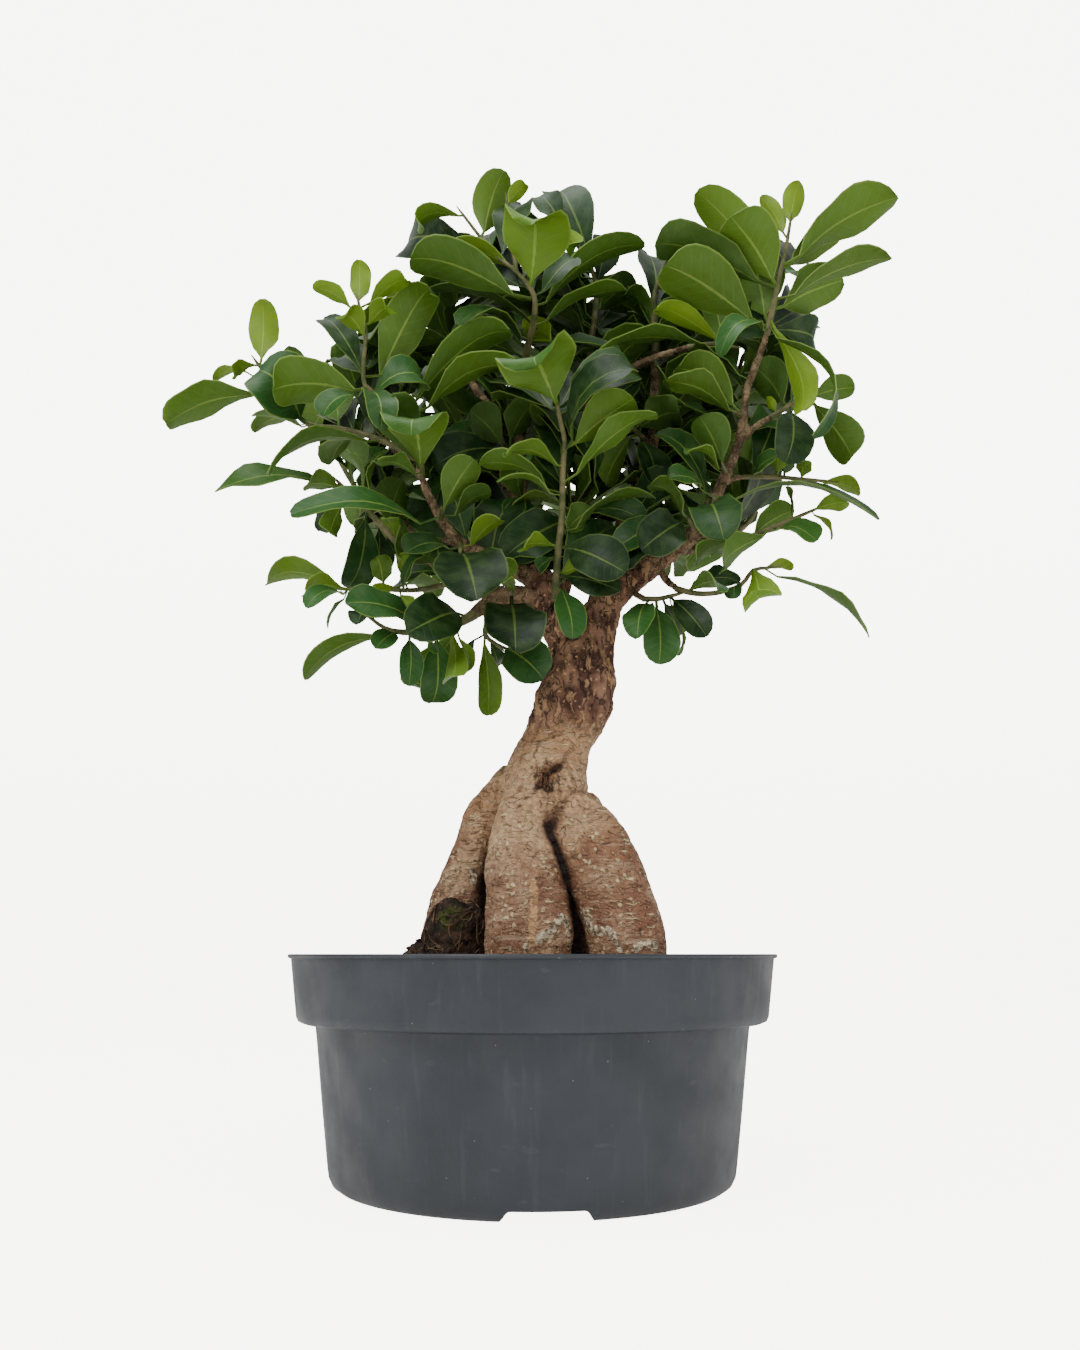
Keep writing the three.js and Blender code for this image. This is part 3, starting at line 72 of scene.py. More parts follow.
# Sizes that the leaves' places depend on, in millimetres and degrees
UP = np.array([0.0, 0.0, 1.0])
FOLD = math.radians(14)
FOLD_OUT = math.cos(FOLD)
FOLD_UP = math.sin(FOLD)
SHORT_STALK = 5
STALK_SETBACK = 2
SPUR_GIRTH = 5
LEAF_CLEARANCE = 2.5
STEM_CLEARANCE = 1.8
CROWN_TOP = 458
SEED = 20240611
LEAF_ANGLE = 137.5
POINT_SPACING = 3.3
SHORT_STALK_SHARE = 0.13
STALK_RADIUS = 0.8
FREE_NEAR_LEAF = 0.15
FREE_NEAR_STEM = 0.35
BLADE_FOOT = (0, 0.12)
BLADE_STATIONS = [(0.22, 0.7), (0.5, 1.0), (0.78, 0.76)]
SWINGS = [0, 5, -5, 10, -10, 15, -15, 21, -21, 28, -28, 36, -36, 45, -45]

# Roots and trunk, each a row of x, z, depth and radius
ROOTS_AND_TRUNK = [
    [[6, 139, 8, 13], [6.5, 149, 4, 18.4], [5.8, 160, 4, 18.7], [8, 170, 4, 16.4], [11, 180, 4, 15.2],
     [16.3, 190, 4, 16.3], [19, 200, 4, 16], [19.6, 209, 4, 14.6], [19.6, 218, 5, 12]],
    [[13, 150, 0, 11.5], [20.5, 139, -5, 14.8], [26.4, 130.5, -8, 16.2], [30.8, 119, -10, 16.4],
     [36.4, 105, -12, 15.9], [40.2, 90, -13, 16.3], [42, 75, -13, 14], [44, 58, -12, 11], [44, 42, -10, 7]],
    [[-1, 158, 2, 12], [-3, 148, -2, 12.6], [-5.3, 138, -6, 12.8], [-4.8, 127, -9, 15.5],
     [-3.6, 117, -11, 17.4], [-2.2, 105, -12, 18.4], [-1.6, 90, -13, 18.4], [-2, 74, -12, 15],
     [-3, 56, -10, 11], [-3, 42, -9, 7]],
    [[-5, 160, 10, 11], [-12.5, 151.5, 14, 11], [-20, 143, 17, 10.4], [-24, 131, 19, 9.9],
     [-28.3, 118, 21, 11.3], [-31, 106, 22, 13.6], [-32.5, 92, 23, 14.4], [-36, 76, 24, 12],
     [-39, 58, 24, 9], [-39, 44, 22, 6]],
    [[8, 152, 14, 14], [9, 140, 26, 13], [10, 125, 34, 13], [12, 108, 40, 13.5], [14, 90, 44, 13.5],
     [15, 72, 46, 11], [15, 52, 46, 7]],
    [[16, 148, 12, 13], [24, 136, 20, 12], [32, 120, 26, 11.5], [38, 104, 31, 12], [41, 88, 34, 11.5],
     [43, 70, 36, 9], [43, 52, 36, 6]],
]

# Bare branches
BRANCHES = [
    [[19, 206, 6, 10], [15, 220, 6, 8.4], [8, 234, 7, 7], [5, 246, 10, 6.2], [1, 257, 13, 5.2],
     [-4, 270, 17, 4.3], [-6, 290, 21, 3.6], [-7, 320, 24, 2.9], [-6, 340, 23, 2.4]],
    [[23, 206, 5, 11], [25.5, 220, 5, 10], [28, 232, 5, 8.8], [33, 242, 4, 7.4], [42, 249.5, 2, 5.8],
     [52, 257, 0, 5], [62, 265, -2, 4.6], [72, 273, -4, 4.1], [79, 283, -5, 3.2], [86, 297, -6, 2.6],
     [91, 308, -7, 2.4], [95, 318, -8, 2.3], [98, 332, -8, 2.1], [100, 345, -9, 1.9], [104, 356, -10, 1.8],
     [108, 366, -10, 1.7]],
    [[28, 233, 8, 7], [33, 250, 12, 5.4], [38, 266, 16, 4.6], [43, 283, 20, 4], [51, 303, 24, 3.4],
     [56, 325, 26, 2.8], [57, 350, 26, 2.4]],
    [[9, 238, 10, 5], [16, 262, 18, 4], [21, 285, 26, 3.4], [25, 308, 32, 2.9], [24, 335, 36, 2.4]],
    [[4, 249, 12, 4.8], [-9, 257, 9, 3.8], [-22, 263, 4, 3.3], [-33, 269, 0, 2.6], [-40, 277, -4, 2.4],
     [-46, 288, -6, 2.1], [-51, 300, -8, 1.9], [-53, 309, -8, 1.8]],
    [[5, 240, 9, 5], [-8, 244.5, 4, 4.2], [-20, 241, 0, 3.6]],
    [[-12, 244, 4, 3.4], [-30, 252, 9, 2.7], [-42, 258, 9, 2.4]],
]

# Leafy stems: name, row where the bare wood ends, rows, leaves and any side stem. A leaf is foot x,
# foot z, tip x, tip z, reach of the tip in depth, width, turn of the upper side, arch and age, where a
# low age paints the leaf dark, for old leaves and as painted shade
LEAFY_STEMS = [
    ("upper_left", 2, [
        [-53, 309, -8, 1.8], [-54, 319, -8, 1.7], [-56, 329, -9, 1.6], [-63, 338, -12, 1.5],
        [-72, 342, -16, 1.4], [-79, 347, -19, 1.2], [-80, 360, -21, 1.1], [-79.5, 375, -22, 1],
        [-83, 388, -22, 0.8]], [
        [-55, 333, -6, 356, -16, 18, 130, 0.2, 0.45], [-54, 340, -13.5, 378.5, -8, 18, 145, 0.12, 0.3],
        [-71.5, 352, -53, 395, 6, 20, 170, 0.1, 0.4], [-78, 344, -123, 344.5, -10, 23, 155, 0.2, 0.45],
        [-78, 341, -51, 348, -26, 20, 55, 0.28, 0.2], [-82, 341, -98, 331, -22, 16, 60, 0.2, 0.3],
        [-80, 343, -70, 326, -26, 14, 40, 0.2, 0.35], [-62, 346, -52, 374, -2, 12, 100, 0.1, 0.2],
        [-78, 350, -100.5, 383.5, 6, 13, 30, 0.1, 0.15], [-79.5, 372, -90, 384, -8, 12, 150, 0.2, 0.8],
        [-79, 378, -69, 387, -8, 11, 150, 0.2, 0.75], [-83.5, 388, -84, 413, 4, 10, 165, 0.08, 0.9],
        [-85, 386, -106, 398.5, 2, 9, 140, 0.15, 0.8], [-80, 388, -61, 403.5, -6, 10, 150, 0.12, 0.75]]),
    ("far_left", 1, [
        [-53, 309, -7, 1.7], [-62, 315, -3, 1.5], [-75, 321, 2, 1.4], [-90, 325, 4, 1.3],
        [-104, 327, 4, 1.2], [-112, 334, 4, 1.1], [-121, 346, 4, 1], [-129, 357, 4, 0.8]], [
        [-70, 321, -121, 300, -24, 16, 112, 0.2, 0.25], [-130, 342, -170, 326, -12, 20, 140, 0.16, 0.45],
        [-128, 357, -129, 390, 6, 14, 170, 0.08, 1], [-106, 327, -129, 356, -8, 30, 25, 0.2, 0.2],
        [-130, 358, -140.5, 352, -8, 8, 140, 0.2, 0.8], [-129, 352, -150, 350, 6, 8, 110, 0.15, 0.9],
        [-104, 326, -130, 323, -10, 13, 115, 0.22, 0.4], [-106, 326, -131, 330.5, -14, 10, 110, 0.12, 0.3],
        [-112, 338, -116, 366, 14, 15, 160, 0.1, 0.1], [-90, 326, -96, 352, 12, 16, 160, 0.1, 0.3]]),
    ("left_heart", 1, [
        [-51, 300, -8, 1.6], [-51, 302, -11.5, 1.3], [-51, 304, -15, 1.1]], [
        [-51, 304, -57, 327, -32, 28, 165, 0.22, 0.5], [-52, 302, -72, 307, 10, 12, 120, 0.15, 0.2]]),
    ("left_mid", 1, [
        [-42, 280, -5, 1.6], [-42, 281, -9, 1.3], [-42, 283, -13, 1.1]], [
        [-42, 284, -27.5, 310, -8, 16, 160, 0.1, 0.4], [-43, 278, -111, 279, -18, 17, 58, 0.19, 0.3],
        [-38, 280, -20, 294, 4, 14, 120, 0.1, 0.1]]),
    ("left_inner", 1, [
        [-33, 269, 0, 1.6], [-33, 268, -4.5, 1.4], [-33, 266, -9, 1.1]], [
        [-33, 267, -25, 240, -36, 30, 12, 0.12, 0.05], [-30, 266, -15, 281, -10, 12, 132, 0.1, 0.7],
        [-38, 266, -58, 264, -16, 16, 60, 0.15, 0.1]]),
    ("lower_left", 1, [
        [-20, 241, 0, 3.4], [-27, 235, -4, 2.6], [-34, 231, -9, 2], [-45, 228, -15, 1.7],
        [-58, 227, -19, 1.4], [-66, 229, -20, 1], [-73, 234, -21, 0.8]], [
        [-31, 237, -56.5, 226, -30, 21, 18, 0.12, 0.1], [-34, 229, -46, 199, -26, 20, 160, 0.28, 0.45],
        [-36, 229, -37, 205, -14, 10, 150, 0.1, 0.6], [-43, 223, -43, 195.5, -22, 16, 20, 0.1, 0.3],
        [-33, 226, -31, 208, -6, 8, 120, 0.22, 0.65], [-55, 226, -54.5, 203, -14, 10, 15, 0.1, 0.2],
        [-54, 226, -45, 220, -16, 10, 120, 0.15, 0.45], [-60, 227, -70, 219, -12, 10, 30, 0.15, 0.3],
        [-63, 228, -100.5, 204.5, -6, 12, 132, 0.2, 0.35], [-54, 232.5, -84, 241, -14, 15, 42, 0.12, 0.2],
        [-73, 239, -78, 231, -12, 10, 40, 0.1, 0.15]]),
    ("hanging_left", 1, [
        [-20, 240, 0, 1.8], [-20, 233, -4, 1.4], [-21.5, 226, -7, 1.1], [-17, 222, -9, 0.9]], [
        [-22, 226, -19.5, 189.5, -8, 11.5, 155, 0.06, 0.5], [-14, 221, 4, 207, -16, 19, 20, 0.12, 0.15],
        [-26, 225, -30, 211, -2, 8, 30, 0.1, 0.15], [-19, 223, -16, 211, 4, 8, 30, 0.1, 0.15]]),
    ("dark_round", 1, [
        [-9, 244, 4, 1.8], [-9.5, 244.5, -3, 1.4], [-10, 245, -8, 1.1]], [
        [-10, 243, -8, 216.5, -36, 25, 8, 0.12, 0.03], [-8, 246, -15, 250, -14, 8, 120, 0.1, 0.5],
        [-12, 248, -12, 262, 4, 8, 150, 0.1, 0.4]]),
    ("mid_left", 1, [
        [-42, 258, 9, 2.3], [-50, 262, 7, 2.1], [-60, 268, 5, 1.9], [-66, 274, 4, 1.7], [-75, 284, 4, 1.4],
        [-81, 290, 4, 1.2], [-88, 297, 4, 0.9]], [
        [-88, 298, -145.5, 292, -10, 15, 58, 0.15, 0.5], [-88, 296, -104, 297, -12, 14, 130, 0.1, 0.4],
        [-90, 290, -96, 274.5, -10, 10, 30, 0.08, 0.1], [-87, 289, -92, 273.5, -12, 11, 150, 0.08, 0.45],
        [-76, 284, -81, 249, -8, 15, 25, 0.1, 0.12], [-70, 278, -71, 254, 8, 14, 25, 0.1, 0.1],
        [-62, 271, -67, 280, -8, 8, 150, 0.2, 0.6], [-78, 289, -84, 312, 4, 9, 100, 0.1, 0.2],
        [-75, 286, -70, 312, 4, 9, 100, 0.1, 0.2], [-66, 274, -60, 300, 10, 18, 150, 0.1, 0.08]]),
    ("thin_left", 1, [
        [-36, 255, 9, 1.6], [-40, 249, 3, 1.3], [-49, 247, -3, 1.2], [-58, 246.5, -8, 1.1],
        [-68, 247, -10, 1], [-83, 247, -10, 0.8]], [
        [-83, 247, -120.5, 252, -8, 15, 128, 0.18, 0.6], [-84, 248, -101.5, 245, -16, 12, 135, 0.2, 0.75],
        [-60, 248, -72, 245, -16, 7, 165, 0.06, 0.95], [-83, 245, -101, 240.5, -12, 10, 60, 0.12, 0.35],
        [-84, 244, -91, 229, -10, 5, 100, 0.1, 0.2], [-58, 250, -60, 264, -4, 7, 150, 0.1, 0.6],
        [-59, 243, -52, 264, 2, 9, 65, 0.08, 0.2], [-60, 245, -55, 238, -6, 7, 150, 0.1, 0.65],
        [-67, 249, -70, 262, 2, 10, 160, 0.06, 0.4]]),
    ("front_centre", 1, [
        [9, 237, 5, 2.2], [9.8, 244, -4, 1.9], [10.5, 256, -11, 1.7], [11.5, 268, -17, 1.6],
        [13, 282, -23, 1.5], [13.5, 305, -30, 1.4], [14.5, 318, -34, 1.2], [12, 331, -36, 1.1],
        [11, 337, -37, 0.9]], [
        [11, 337, 0, 361, -22, 33, 170, 0.2, 0.5], [16, 315, 47, 340, -12, 19, 160, 0.12, 0.55],
        [15, 298, 57, 334, -14, 14, 128, 0.1, 0.4], [14, 306, -13, 311, -14, 12, 122, 0.22, 0.5],
        [11, 293, -26, 306.5, -14, 14, 122, 0.2, 0.35], [12, 268, 42, 254, -18, 20, 20, 0.14, 0.08],
        [12, 254, 39, 246, -24, 13, 20, 0.12, 0.05], [12, 249, 18, 227, -16, 13, 22, 0.06, 0.25],
        [11, 254, 26, 258.5, -12, 10, 150, 0.1, 0.8], [14, 274, 57, 288, -4, 14, 102, 0.2, 0.1],
        [11, 292, -17, 297, 4, 10, 100, 0.2, 0.35], [14, 274, 26, 285, 4, 12, 150, 0.1, 0.25],
        [10, 268, -5, 267, -10, 10, 130, 0.12, 0.65], [9, 262, 2, 256, 4, 8, 40, 0.1, 0.2]]),
    ("inner_centre", 1, [
        [21, 285, 24, 1.8], [20, 283, 12, 1.4], [19.5, 282, 5, 1.1]], [
        [19, 282, -12, 264, -16, 21, 15, 0.12, 0.1], [18, 286, -10, 288, -6, 10, 115, 0.12, 0.45]]),
    ("top_centre", 1, [
        [-6, 340, 23, 2.3], [-5, 352, 17, 2], [-3, 366, 6, 1.7], [0, 380, -5, 1.5], [0, 394, -13, 1.3],
        [-8, 406, -15, 1.1], [-18, 415, -14, 1], [-25, 424, -12, 0.9], [-34, 437, -10, 0.7]], [
        [-1, 398, 0, 436, -22, 31, 168, 0.14, 0.65], [-3, 391, -60, 415, -16, 22, 150, 0.14, 0.25],
        [8, 370, -5, 377, -16, 11, 150, 0.25, 0.9], [6, 390, 51.5, 424, -10, 16, 130, 0.12, 0.35],
        [6, 380, 44.6, 396, -8, 16, 112, 0.12, 0.3], [-8, 408, -41, 420, -6, 11, 145, 0.15, 0.75],
        [2, 393, 20, 414, -2, 13, 35, 0.1, 0.15], [2, 376, -51.5, 395.6, 2, 14, 106, 0.12, 0.08],
        [-16, 413, -6, 446, 8, 17, 30, 0.08, 0.1], [-24, 420, -59, 420, 4, 23, 25, 0.18, 0.05],
        [-25, 424, -17, 459, 6, 17, 165, 0.08, 0.5], [-34, 438, -56, 430, 0, 11, 135, 0.28, 0.6],
        [-13, 443, -5, 454, 2, 7.5, 160, 0.1, 0.9], [-4, 362, -40, 372, 8, 20, 150, 0.12, 0.05]], [
        [-8, 406, -15, 1], [-11, 424, -14, 0.9], [-13, 443, -12, 0.7]]),
    ("top_back", 1, [
        [24, 335, 36, 2.3], [26, 352, 38, 2], [28, 375, 34, 1.6], [30, 398, 28, 1.3], [25, 414, 24, 1.1],
        [15, 430, 20, 0.9], [12, 435, 19, 0.7]], [
        [29, 408, 11, 454.5, 2, 22, 20, 0.1, 0.1], [12, 434, 18.5, 418.5, -18, 9, 150, 0.15, 0.8],
        [15, 430, 3, 449, 6, 14, 20, 0.1, 0.1], [30, 398, 33, 426, 8, 16, 30, 0.1, 0.05],
        [29, 385, 50, 400, 6, 18, 140, 0.12, 0.1], [27, 370, 5, 385, 8, 18, 120, 0.12, 0.1],
        [28, 378, 42, 362, -8, 16, 60, 0.12, 0.1]]),
    ("top_right_back", 1, [
        [57, 350, 26, 2.3], [57, 364, 25, 2], [57, 380, 20, 1.7], [58, 395, 15, 1.3], [62, 408, 12, 1]], [
        [58, 384, 55, 415, 4, 18, 30, 0.1, 0.08], [57, 380, 44, 396, -6, 14, 120, 0.15, 0.1],
        [61, 402, 78, 417, 4, 18, 140, 0.1, 0.15], [57, 376, 74, 386, 4, 18, 140, 0.1, 0.15]]),
    ("top_right", 1, [
        [108, 366, -10, 1.7], [110.5, 374, -13, 1.6], [115, 392, -19, 1.4], [118, 405, -23, 1.2],
        [121, 416, -26, 1], [124, 431, -28, 0.8]], [
        [109, 377, 63, 411, -24, 27, 160, 0.1, 0.4], [117, 398, 95, 436, -16, 25, 162, 0.18, 0.5],
        [111, 378, 103, 423, -6, 24, 165, 0.1, 0.4], [113.5, 381, 122, 336, -24, 14, 150, 0.22, 0.9],
        [118, 391, 172.5, 414.5, -14, 16, 128, 0.1, 0.4],
        [121, 410, 178.5, 447.5, -10, 22, 145, 0.14, 0.5], [116, 402, 83, 449, 10, 20, 165, 0.06, 0.6],
        [115, 386, 149, 402, 6, 22, 155, 0.1, 0.45], [112, 377, 131, 368, -14, 18, 30, 0.25, 0.12],
        [113, 378, 130, 319.5, -6, 10, 98, 0.2, 0.2], [124, 431, 129, 455, 4, 10, 165, 0.06, 1],
        [122, 425, 111, 448, 10, 8, 160, 0.1, 0.95], [120, 408, 149, 427, 12, 14, 150, 0.1, 0.6],
        [114, 398, 59, 424, 16, 22, 150, 0.1, 0.12], [111, 376, 90, 371, -16, 10, 60, 0.12, 0.25]]),
    ("mid_right", 4, [
        [24, 331, 35, 2.4], [32, 346, 30, 2.4], [45, 355, 22, 2.2], [60, 362, 12, 2], [74, 366.5, 3, 1.6],
        [84, 368, -3, 1.4], [92, 367, -8, 1]], [
        [91, 367, 27, 361, -12, 15, 112, 0.13, 0.3], [91, 368, 58, 389, -14, 11, 152, 0.08, 0.95],
        [90, 368, 84, 396, 6, 14, 160, 0.08, 0.3]]),
    ("right_inner", 1, [
        [98, 332, -8, 1.6], [96.5, 332.5, -12.5, 1.3], [95, 333, -17, 1]], [
        [95, 332, 62, 347, -16, 17, 132, 0.18, 0.35], [96, 334, 69, 357, 4, 21, 155, 0.12, 0.4]]),
    ("right_outer", 2, [
        [95, 318, -8, 1.8], [103, 326, -7, 1.6], [111, 331, -6, 1.4], [120, 337, -5, 1.2],
        [129, 341, -4, 0.9]], [
        [129, 340, 147.5, 310.5, -8, 18, 160, 0.1, 0.35], [128, 341, 150.5, 346, -4, 13, 150, 0.08, 0.4],
        [130, 340, 136, 323, -4, 5, 150, 0.05, 1], [120, 336, 118, 311, -14, 18, 25, 0.1, 0.12],
        [118, 336, 104, 357, 8, 19, 150, 0.1, 0.1], [113, 333, 109, 341, -5, 4, 160, 0.05, 0.9]]),
    ("right_twig", 2, [
        [86, 297, -6, 1.8], [91, 300, 0, 1.6], [97, 301, 4, 1.3], [110, 301, 5, 1.2], [122, 300, 3, 1],
        [133, 299, 0, 0.8]], [
        [112, 302, 113, 315, -8, 11, 160, 0.05, 0.6], [131, 299, 149, 292, -6, 10, 132, 0.18, 0.7],
        [100, 301, 112, 311, -12, 12, 60, 0.1, 0.3], [123, 300, 124, 309, -6, 8, 150, 0.1, 0.5],
        [115, 301, 118, 320, 10, 14, 150, 0.1, 0.1]]),
    ("right_arch", 1, [
        [83, 291, -6, 1.6], [82, 291.5, -11, 1.4], [81, 292, -15, 1.1]], [
        [83, 292, 156, 275, -16, 15, 86, 0.19, 0.15], [80, 289, 86, 273, -34, 21, 12, 0.12, 0.12],
        [79, 294, 61, 300, -10, 12, 62, 0.2, 0.4]]),
    ("right_hook", 1, [
        [88.5, 303, -6.5, 1.5], [88, 304, -11, 1.3], [87.5, 305.5, -15, 1]], [
        [87, 304, 70, 312, -8, 9, 112, 0.28, 0.5], [88, 306, 77, 331, 2, 18, 150, 0.1, 0.12]]),
    ("right_dark", 1, [
        [73, 275, -4, 1.7], [72, 277, -9.5, 1.4], [71, 279, -14, 1.1]], [
        [70, 280, 49, 266, -22, 19, 15, 0.12, 0.05], [70, 281, 51, 296, -8, 12, 120, 0.28, 0.3]]),
    ("low_right", 2, [
        [74, 275, -4, 1.9], [80, 272, -9, 1.7], [87, 270.5, -12, 1.5], [98, 272, -16, 1.4],
        [108, 276, -19, 1.3], [117, 280, -21, 1.1], [127, 284.5, -22, 0.8]], [
        [107, 274, 84, 258, -14, 15, 132, 0.08, 0.35], [108, 276, 128, 268, -12, 15, 60, 0.22, 0.45],
        [127, 285, 143.5, 288.5, -8, 9, 150, 0.12, 0.7], [127, 284, 134, 270, -6, 5, 110, 0.2, 0.85],
        [98, 272, 119, 285, 2, 13, 150, 0.1, 0.35], [118, 281, 116, 296, 4, 6, 100, 0.05, 0.1],
        [91, 271, 73, 260, -6, 10, 132, 0.1, 0.4]]),
    ("low_right_front", 2, [
        [43, 248, 1, 2], [47, 244, -5, 1.6], [50, 242.5, -8, 1.4], [56, 242.5, -10, 1.2],
        [62, 244, -11, 1]], [
        [55, 241, 56, 213.5, -14, 16, 18, 0.08, 0.4], [51, 242, 46, 226, -14, 13, 25, 0.08, 0.35],
        [61, 244, 77, 225, -14, 13, 20, 0.1, 0.08], [58, 242, 65, 225, 4, 12, 25, 0.08, 0.05],
        [61, 243, 66, 217, -2, 6, 95, 0.08, 0.3]]),
    ("low_right_long", 2, [
        [56, 258, -1, 2], [60, 251, -6, 1.7], [65, 247, -11, 1.5], [73, 245, -16, 1.3],
        [83, 245.5, -20, 1.2], [93, 249, -23, 1.1], [99, 256, -25, 1], [105, 257, -26, 0.8]], [
        [99, 258, 101, 242, -18, 16, 165, 0.1, 0.75], [104, 257, 149, 224, -10, 12, 102, 0.13, 0.2],
        [69, 247, 84, 248, -10, 11, 132, 0.12, 0.3], [72, 250, 93, 251, -10, 12, 50, 0.1, 0.12],
        [91, 249, 90, 243.5, -8, 8, 30, 0.08, 0.15], [103, 257, 117, 257, 4, 6, 132, 0.15, 0.9]]),
    ("shade_left", 1, [
        [-7, 312, 23, 1.8], [-10, 314, 15, 1.4], [-13, 316, 8, 1.1]], [
        [-14, 316, -46, 306, -4, 22, 40, 0.14, 0.06], [-13, 316, -30, 334, 0, 19, 145, 0.1, 0.06],
        [-12, 317, 0, 338, -6, 16, 145, 0.12, 0.1]]),
    ("shade_right", 1, [
        [54, 316, 25, 1.8], [51, 320, 17, 1.4], [47, 324, 9, 1.1]], [
        [46, 324, 33, 298, -6, 14, 150, 0.08, 0.4], [47, 325, 68, 334, 0, 20, 145, 0.1, 0.08],
        [45, 326, 22, 322, -4, 18, 60, 0.14, 0.06], [49, 322, 56, 296, 2, 17, 40, 0.1, 0.06]]),
]

# How far the ends of some leaves roll back, in degrees, by their place in the stem's leaves
CURLED = {
    "upper_left": {2: 110, 4: 100, 9: 120, 10: 120},
    "far_left": {3: 80},
    "left_heart": {0: 115},
    "front_centre": {0: 115},
    "top_centre": {0: 125, 2: 90, 11: 120, 12: 90},
    "top_right": {14: 100},
    "low_right_long": {0: 90},
    "mid_left": {4: 80},
    "lower_left": {1: 100},
}

# Branches behind the tree: how many leaves, and the rows
HIDDEN_STEMS = [
    (6, [[21, 285, 26, 3], [30, 300, 50, 2.4], [40, 318, 72, 2], [47, 336, 88, 1.5], [50, 356, 98, 1]]),
    (6, [[-6, 290, 21, 2.8], [-18, 302, 44, 2.3], [-30, 318, 62, 1.9], [-40, 336, 78, 1.4],
         [-46, 356, 90, 1]]),
    (5, [[51, 303, 24, 2.6], [66, 312, 40, 2.2], [80, 325, 54, 1.8], [92, 341, 66, 1.4], [98, 360, 74, 1]]),
    (5, [[-7, 320, 24, 2.4], [-22, 338, 42, 2], [-34, 356, 56, 1.6], [-44, 375, 66, 1.3], [-48, 394, 72, 1]]),
    (6, [[25, 308, 32, 2.4], [22, 330, 58, 2], [18, 348, 80, 1.7], [14, 364, 92, 1.3], [10, 380, 98, 1]]),
    (5, [[-33, 269, 0, 2.2], [-50, 273, 28, 2], [-66, 282, 48, 1.7], [-80, 294, 62, 1.3], [-90, 310, 72, 1]]),
    (4, [[62, 265, -2, 2.4], [73, 266, 24, 2], [84, 270, 44, 1.7], [96, 277, 58, 1.3], [104, 290, 68, 1]]),
    (5, [[56, 325, 26, 2.2], [68, 345, 44, 1.9], [78, 363, 56, 1.6], [88, 382, 62, 1.2], [92, 402, 64, 1]]),
    (4, [[1, 257, 13, 2.8], [-8, 262, 38, 2.2], [-16, 270, 62, 1.8], [-22, 282, 82, 1.4], [-24, 298, 96, 1]]),
    (4, [[16, 262, 18, 2.6], [32, 266, 42, 2], [44, 274, 64, 1.7], [54, 286, 80, 1.3], [60, 302, 92, 1]]),
    (5, [[-51, 300, -8, 1.7], [-64, 314, 16, 1.5], [-76, 330, 34, 1.3], [-84, 346, 46, 1.1],
         [-88, 362, 54, 0.9]]),
]
HIDDEN_CUT = 2

# The outline of the dense crown as it shows
CROWN = [
    [-112, 335], [-96, 366], [-70, 385], [-50, 405], [-28, 430], [2, 442], [28, 436], [46, 408], [72, 426],
    [104, 442], [124, 420], [138, 396], [130, 360], [128, 335], [118, 316], [112, 290], [96, 266],
    [74, 256], [52, 246], [34, 250], [14, 252], [-12, 256], [-30, 246], [-54, 236], [-74, 250], [-88, 290],
    [-100, 312]
]


def seen(x, z, depth):
    """A point of the plant that shows at x and z in the plane through the trunk, at its real depth."""
    k = widened(depth)
    return np.array([EYE[0] + (x - EYE[0]) * k, depth, EYE[2] + (z - EYE[2]) * k])


def widened(depth):
    """How much larger a thing at this depth is than it shows in the plane through the trunk."""
    return (depth - EYE[1]) / -EYE[1]


def shown_at(points):
    """Columns of x and z where points show in the plane through the trunk."""
    k = widened(points[:, 1])
    return np.column_stack([EYE[0] + (points[:, 0] - EYE[0]) / k, EYE[2] + (points[:, 2] - EYE[2]) / k])


def unit(v):
    return v / math.sqrt(float(v @ v))


def length_of(v):
    return math.sqrt(float(v @ v))


def along_line(line, share):
    """The point at this share of a line of points, and the direction there."""
    step = share * (len(line) - 1)
    at = min(math.floor(step), len(line) - 2)
    run = line[at + 1] - line[at]
    return line[at] + run * (step - at), unit(run)


def random_source(seed):
    """The same run of random numbers from 0 to 1 each time."""
    mask = 0xFFFFFFFF
    state = seed
    while True:
        state = (state + 0x6D2B79F5) & mask
        t = ((state ^ (state >> 15)) * (state | 1)) & mask
        t = (t ^ (t + (((t ^ (t >> 7)) * (t | 61)) & mask))) & mask
        yield ((t ^ (t >> 14)) & mask) / 4294967296


def stations(rows):
    """Points, radii and directions along a row of x, z, depth and radius."""
    points = [seen(x, z, depth) for x, z, depth, _ in rows]
    radii = [radius * widened(depth) for _, _, depth, radius in rows]
    last = len(points) - 1
    directions = [unit(points[min(i + 1, last)] - points[max(i - 1, 0)]) for i in range(len(points))]
    return points, radii, directions


# Leaf placing
class Limb:
    """Wood that leaves grow from, with the middle lines of its parts."""

    def runs(self):
        return [pair for line in self.lines for pair in zip(line, line[1:])]


class Shoot(Limb):
    """One leafy stem: its bare wood, then its leafy rows, which side stems may join."""

    woody = False

    def __init__(self, name, cut, rows, leaf_rows=(), side=None, count=0):
        self.name = name
        self.rows = rows
        self.wood_rows = rows[:cut + 1]
        self.leafy_rows = [rows[cut:], side] if side else [rows[cut:]]
        self.leaf_rows = leaf_rows
        self.count = count
        self.lines = [stations(one)[0] for one in self.leafy_rows]
        self.lines[0][0] = self.lines[0][0] + stations(rows)[2][cut] * STALK_SETBACK


def all_shoots():
    """The leafy stems that show, then those behind the tree."""
    hidden = enumerate(HIDDEN_STEMS, 1)
    return [Shoot(*data) for data in LEAFY_STEMS] + [
        Shoot(f"back_{i}", HIDDEN_CUT, rows, count=count) for i, (count, rows) in hidden
    ]


class Spur(Limb):
    """The thin end of a bare branch inside the crown, which leaves sprout from."""

    woody = True

    def __init__(self, rows):
        thin = [row for row in rows if row[3] < SPUR_GIRTH]
        self.lines = [stations(thin)[0]]
        self.girth = thin[0][3]


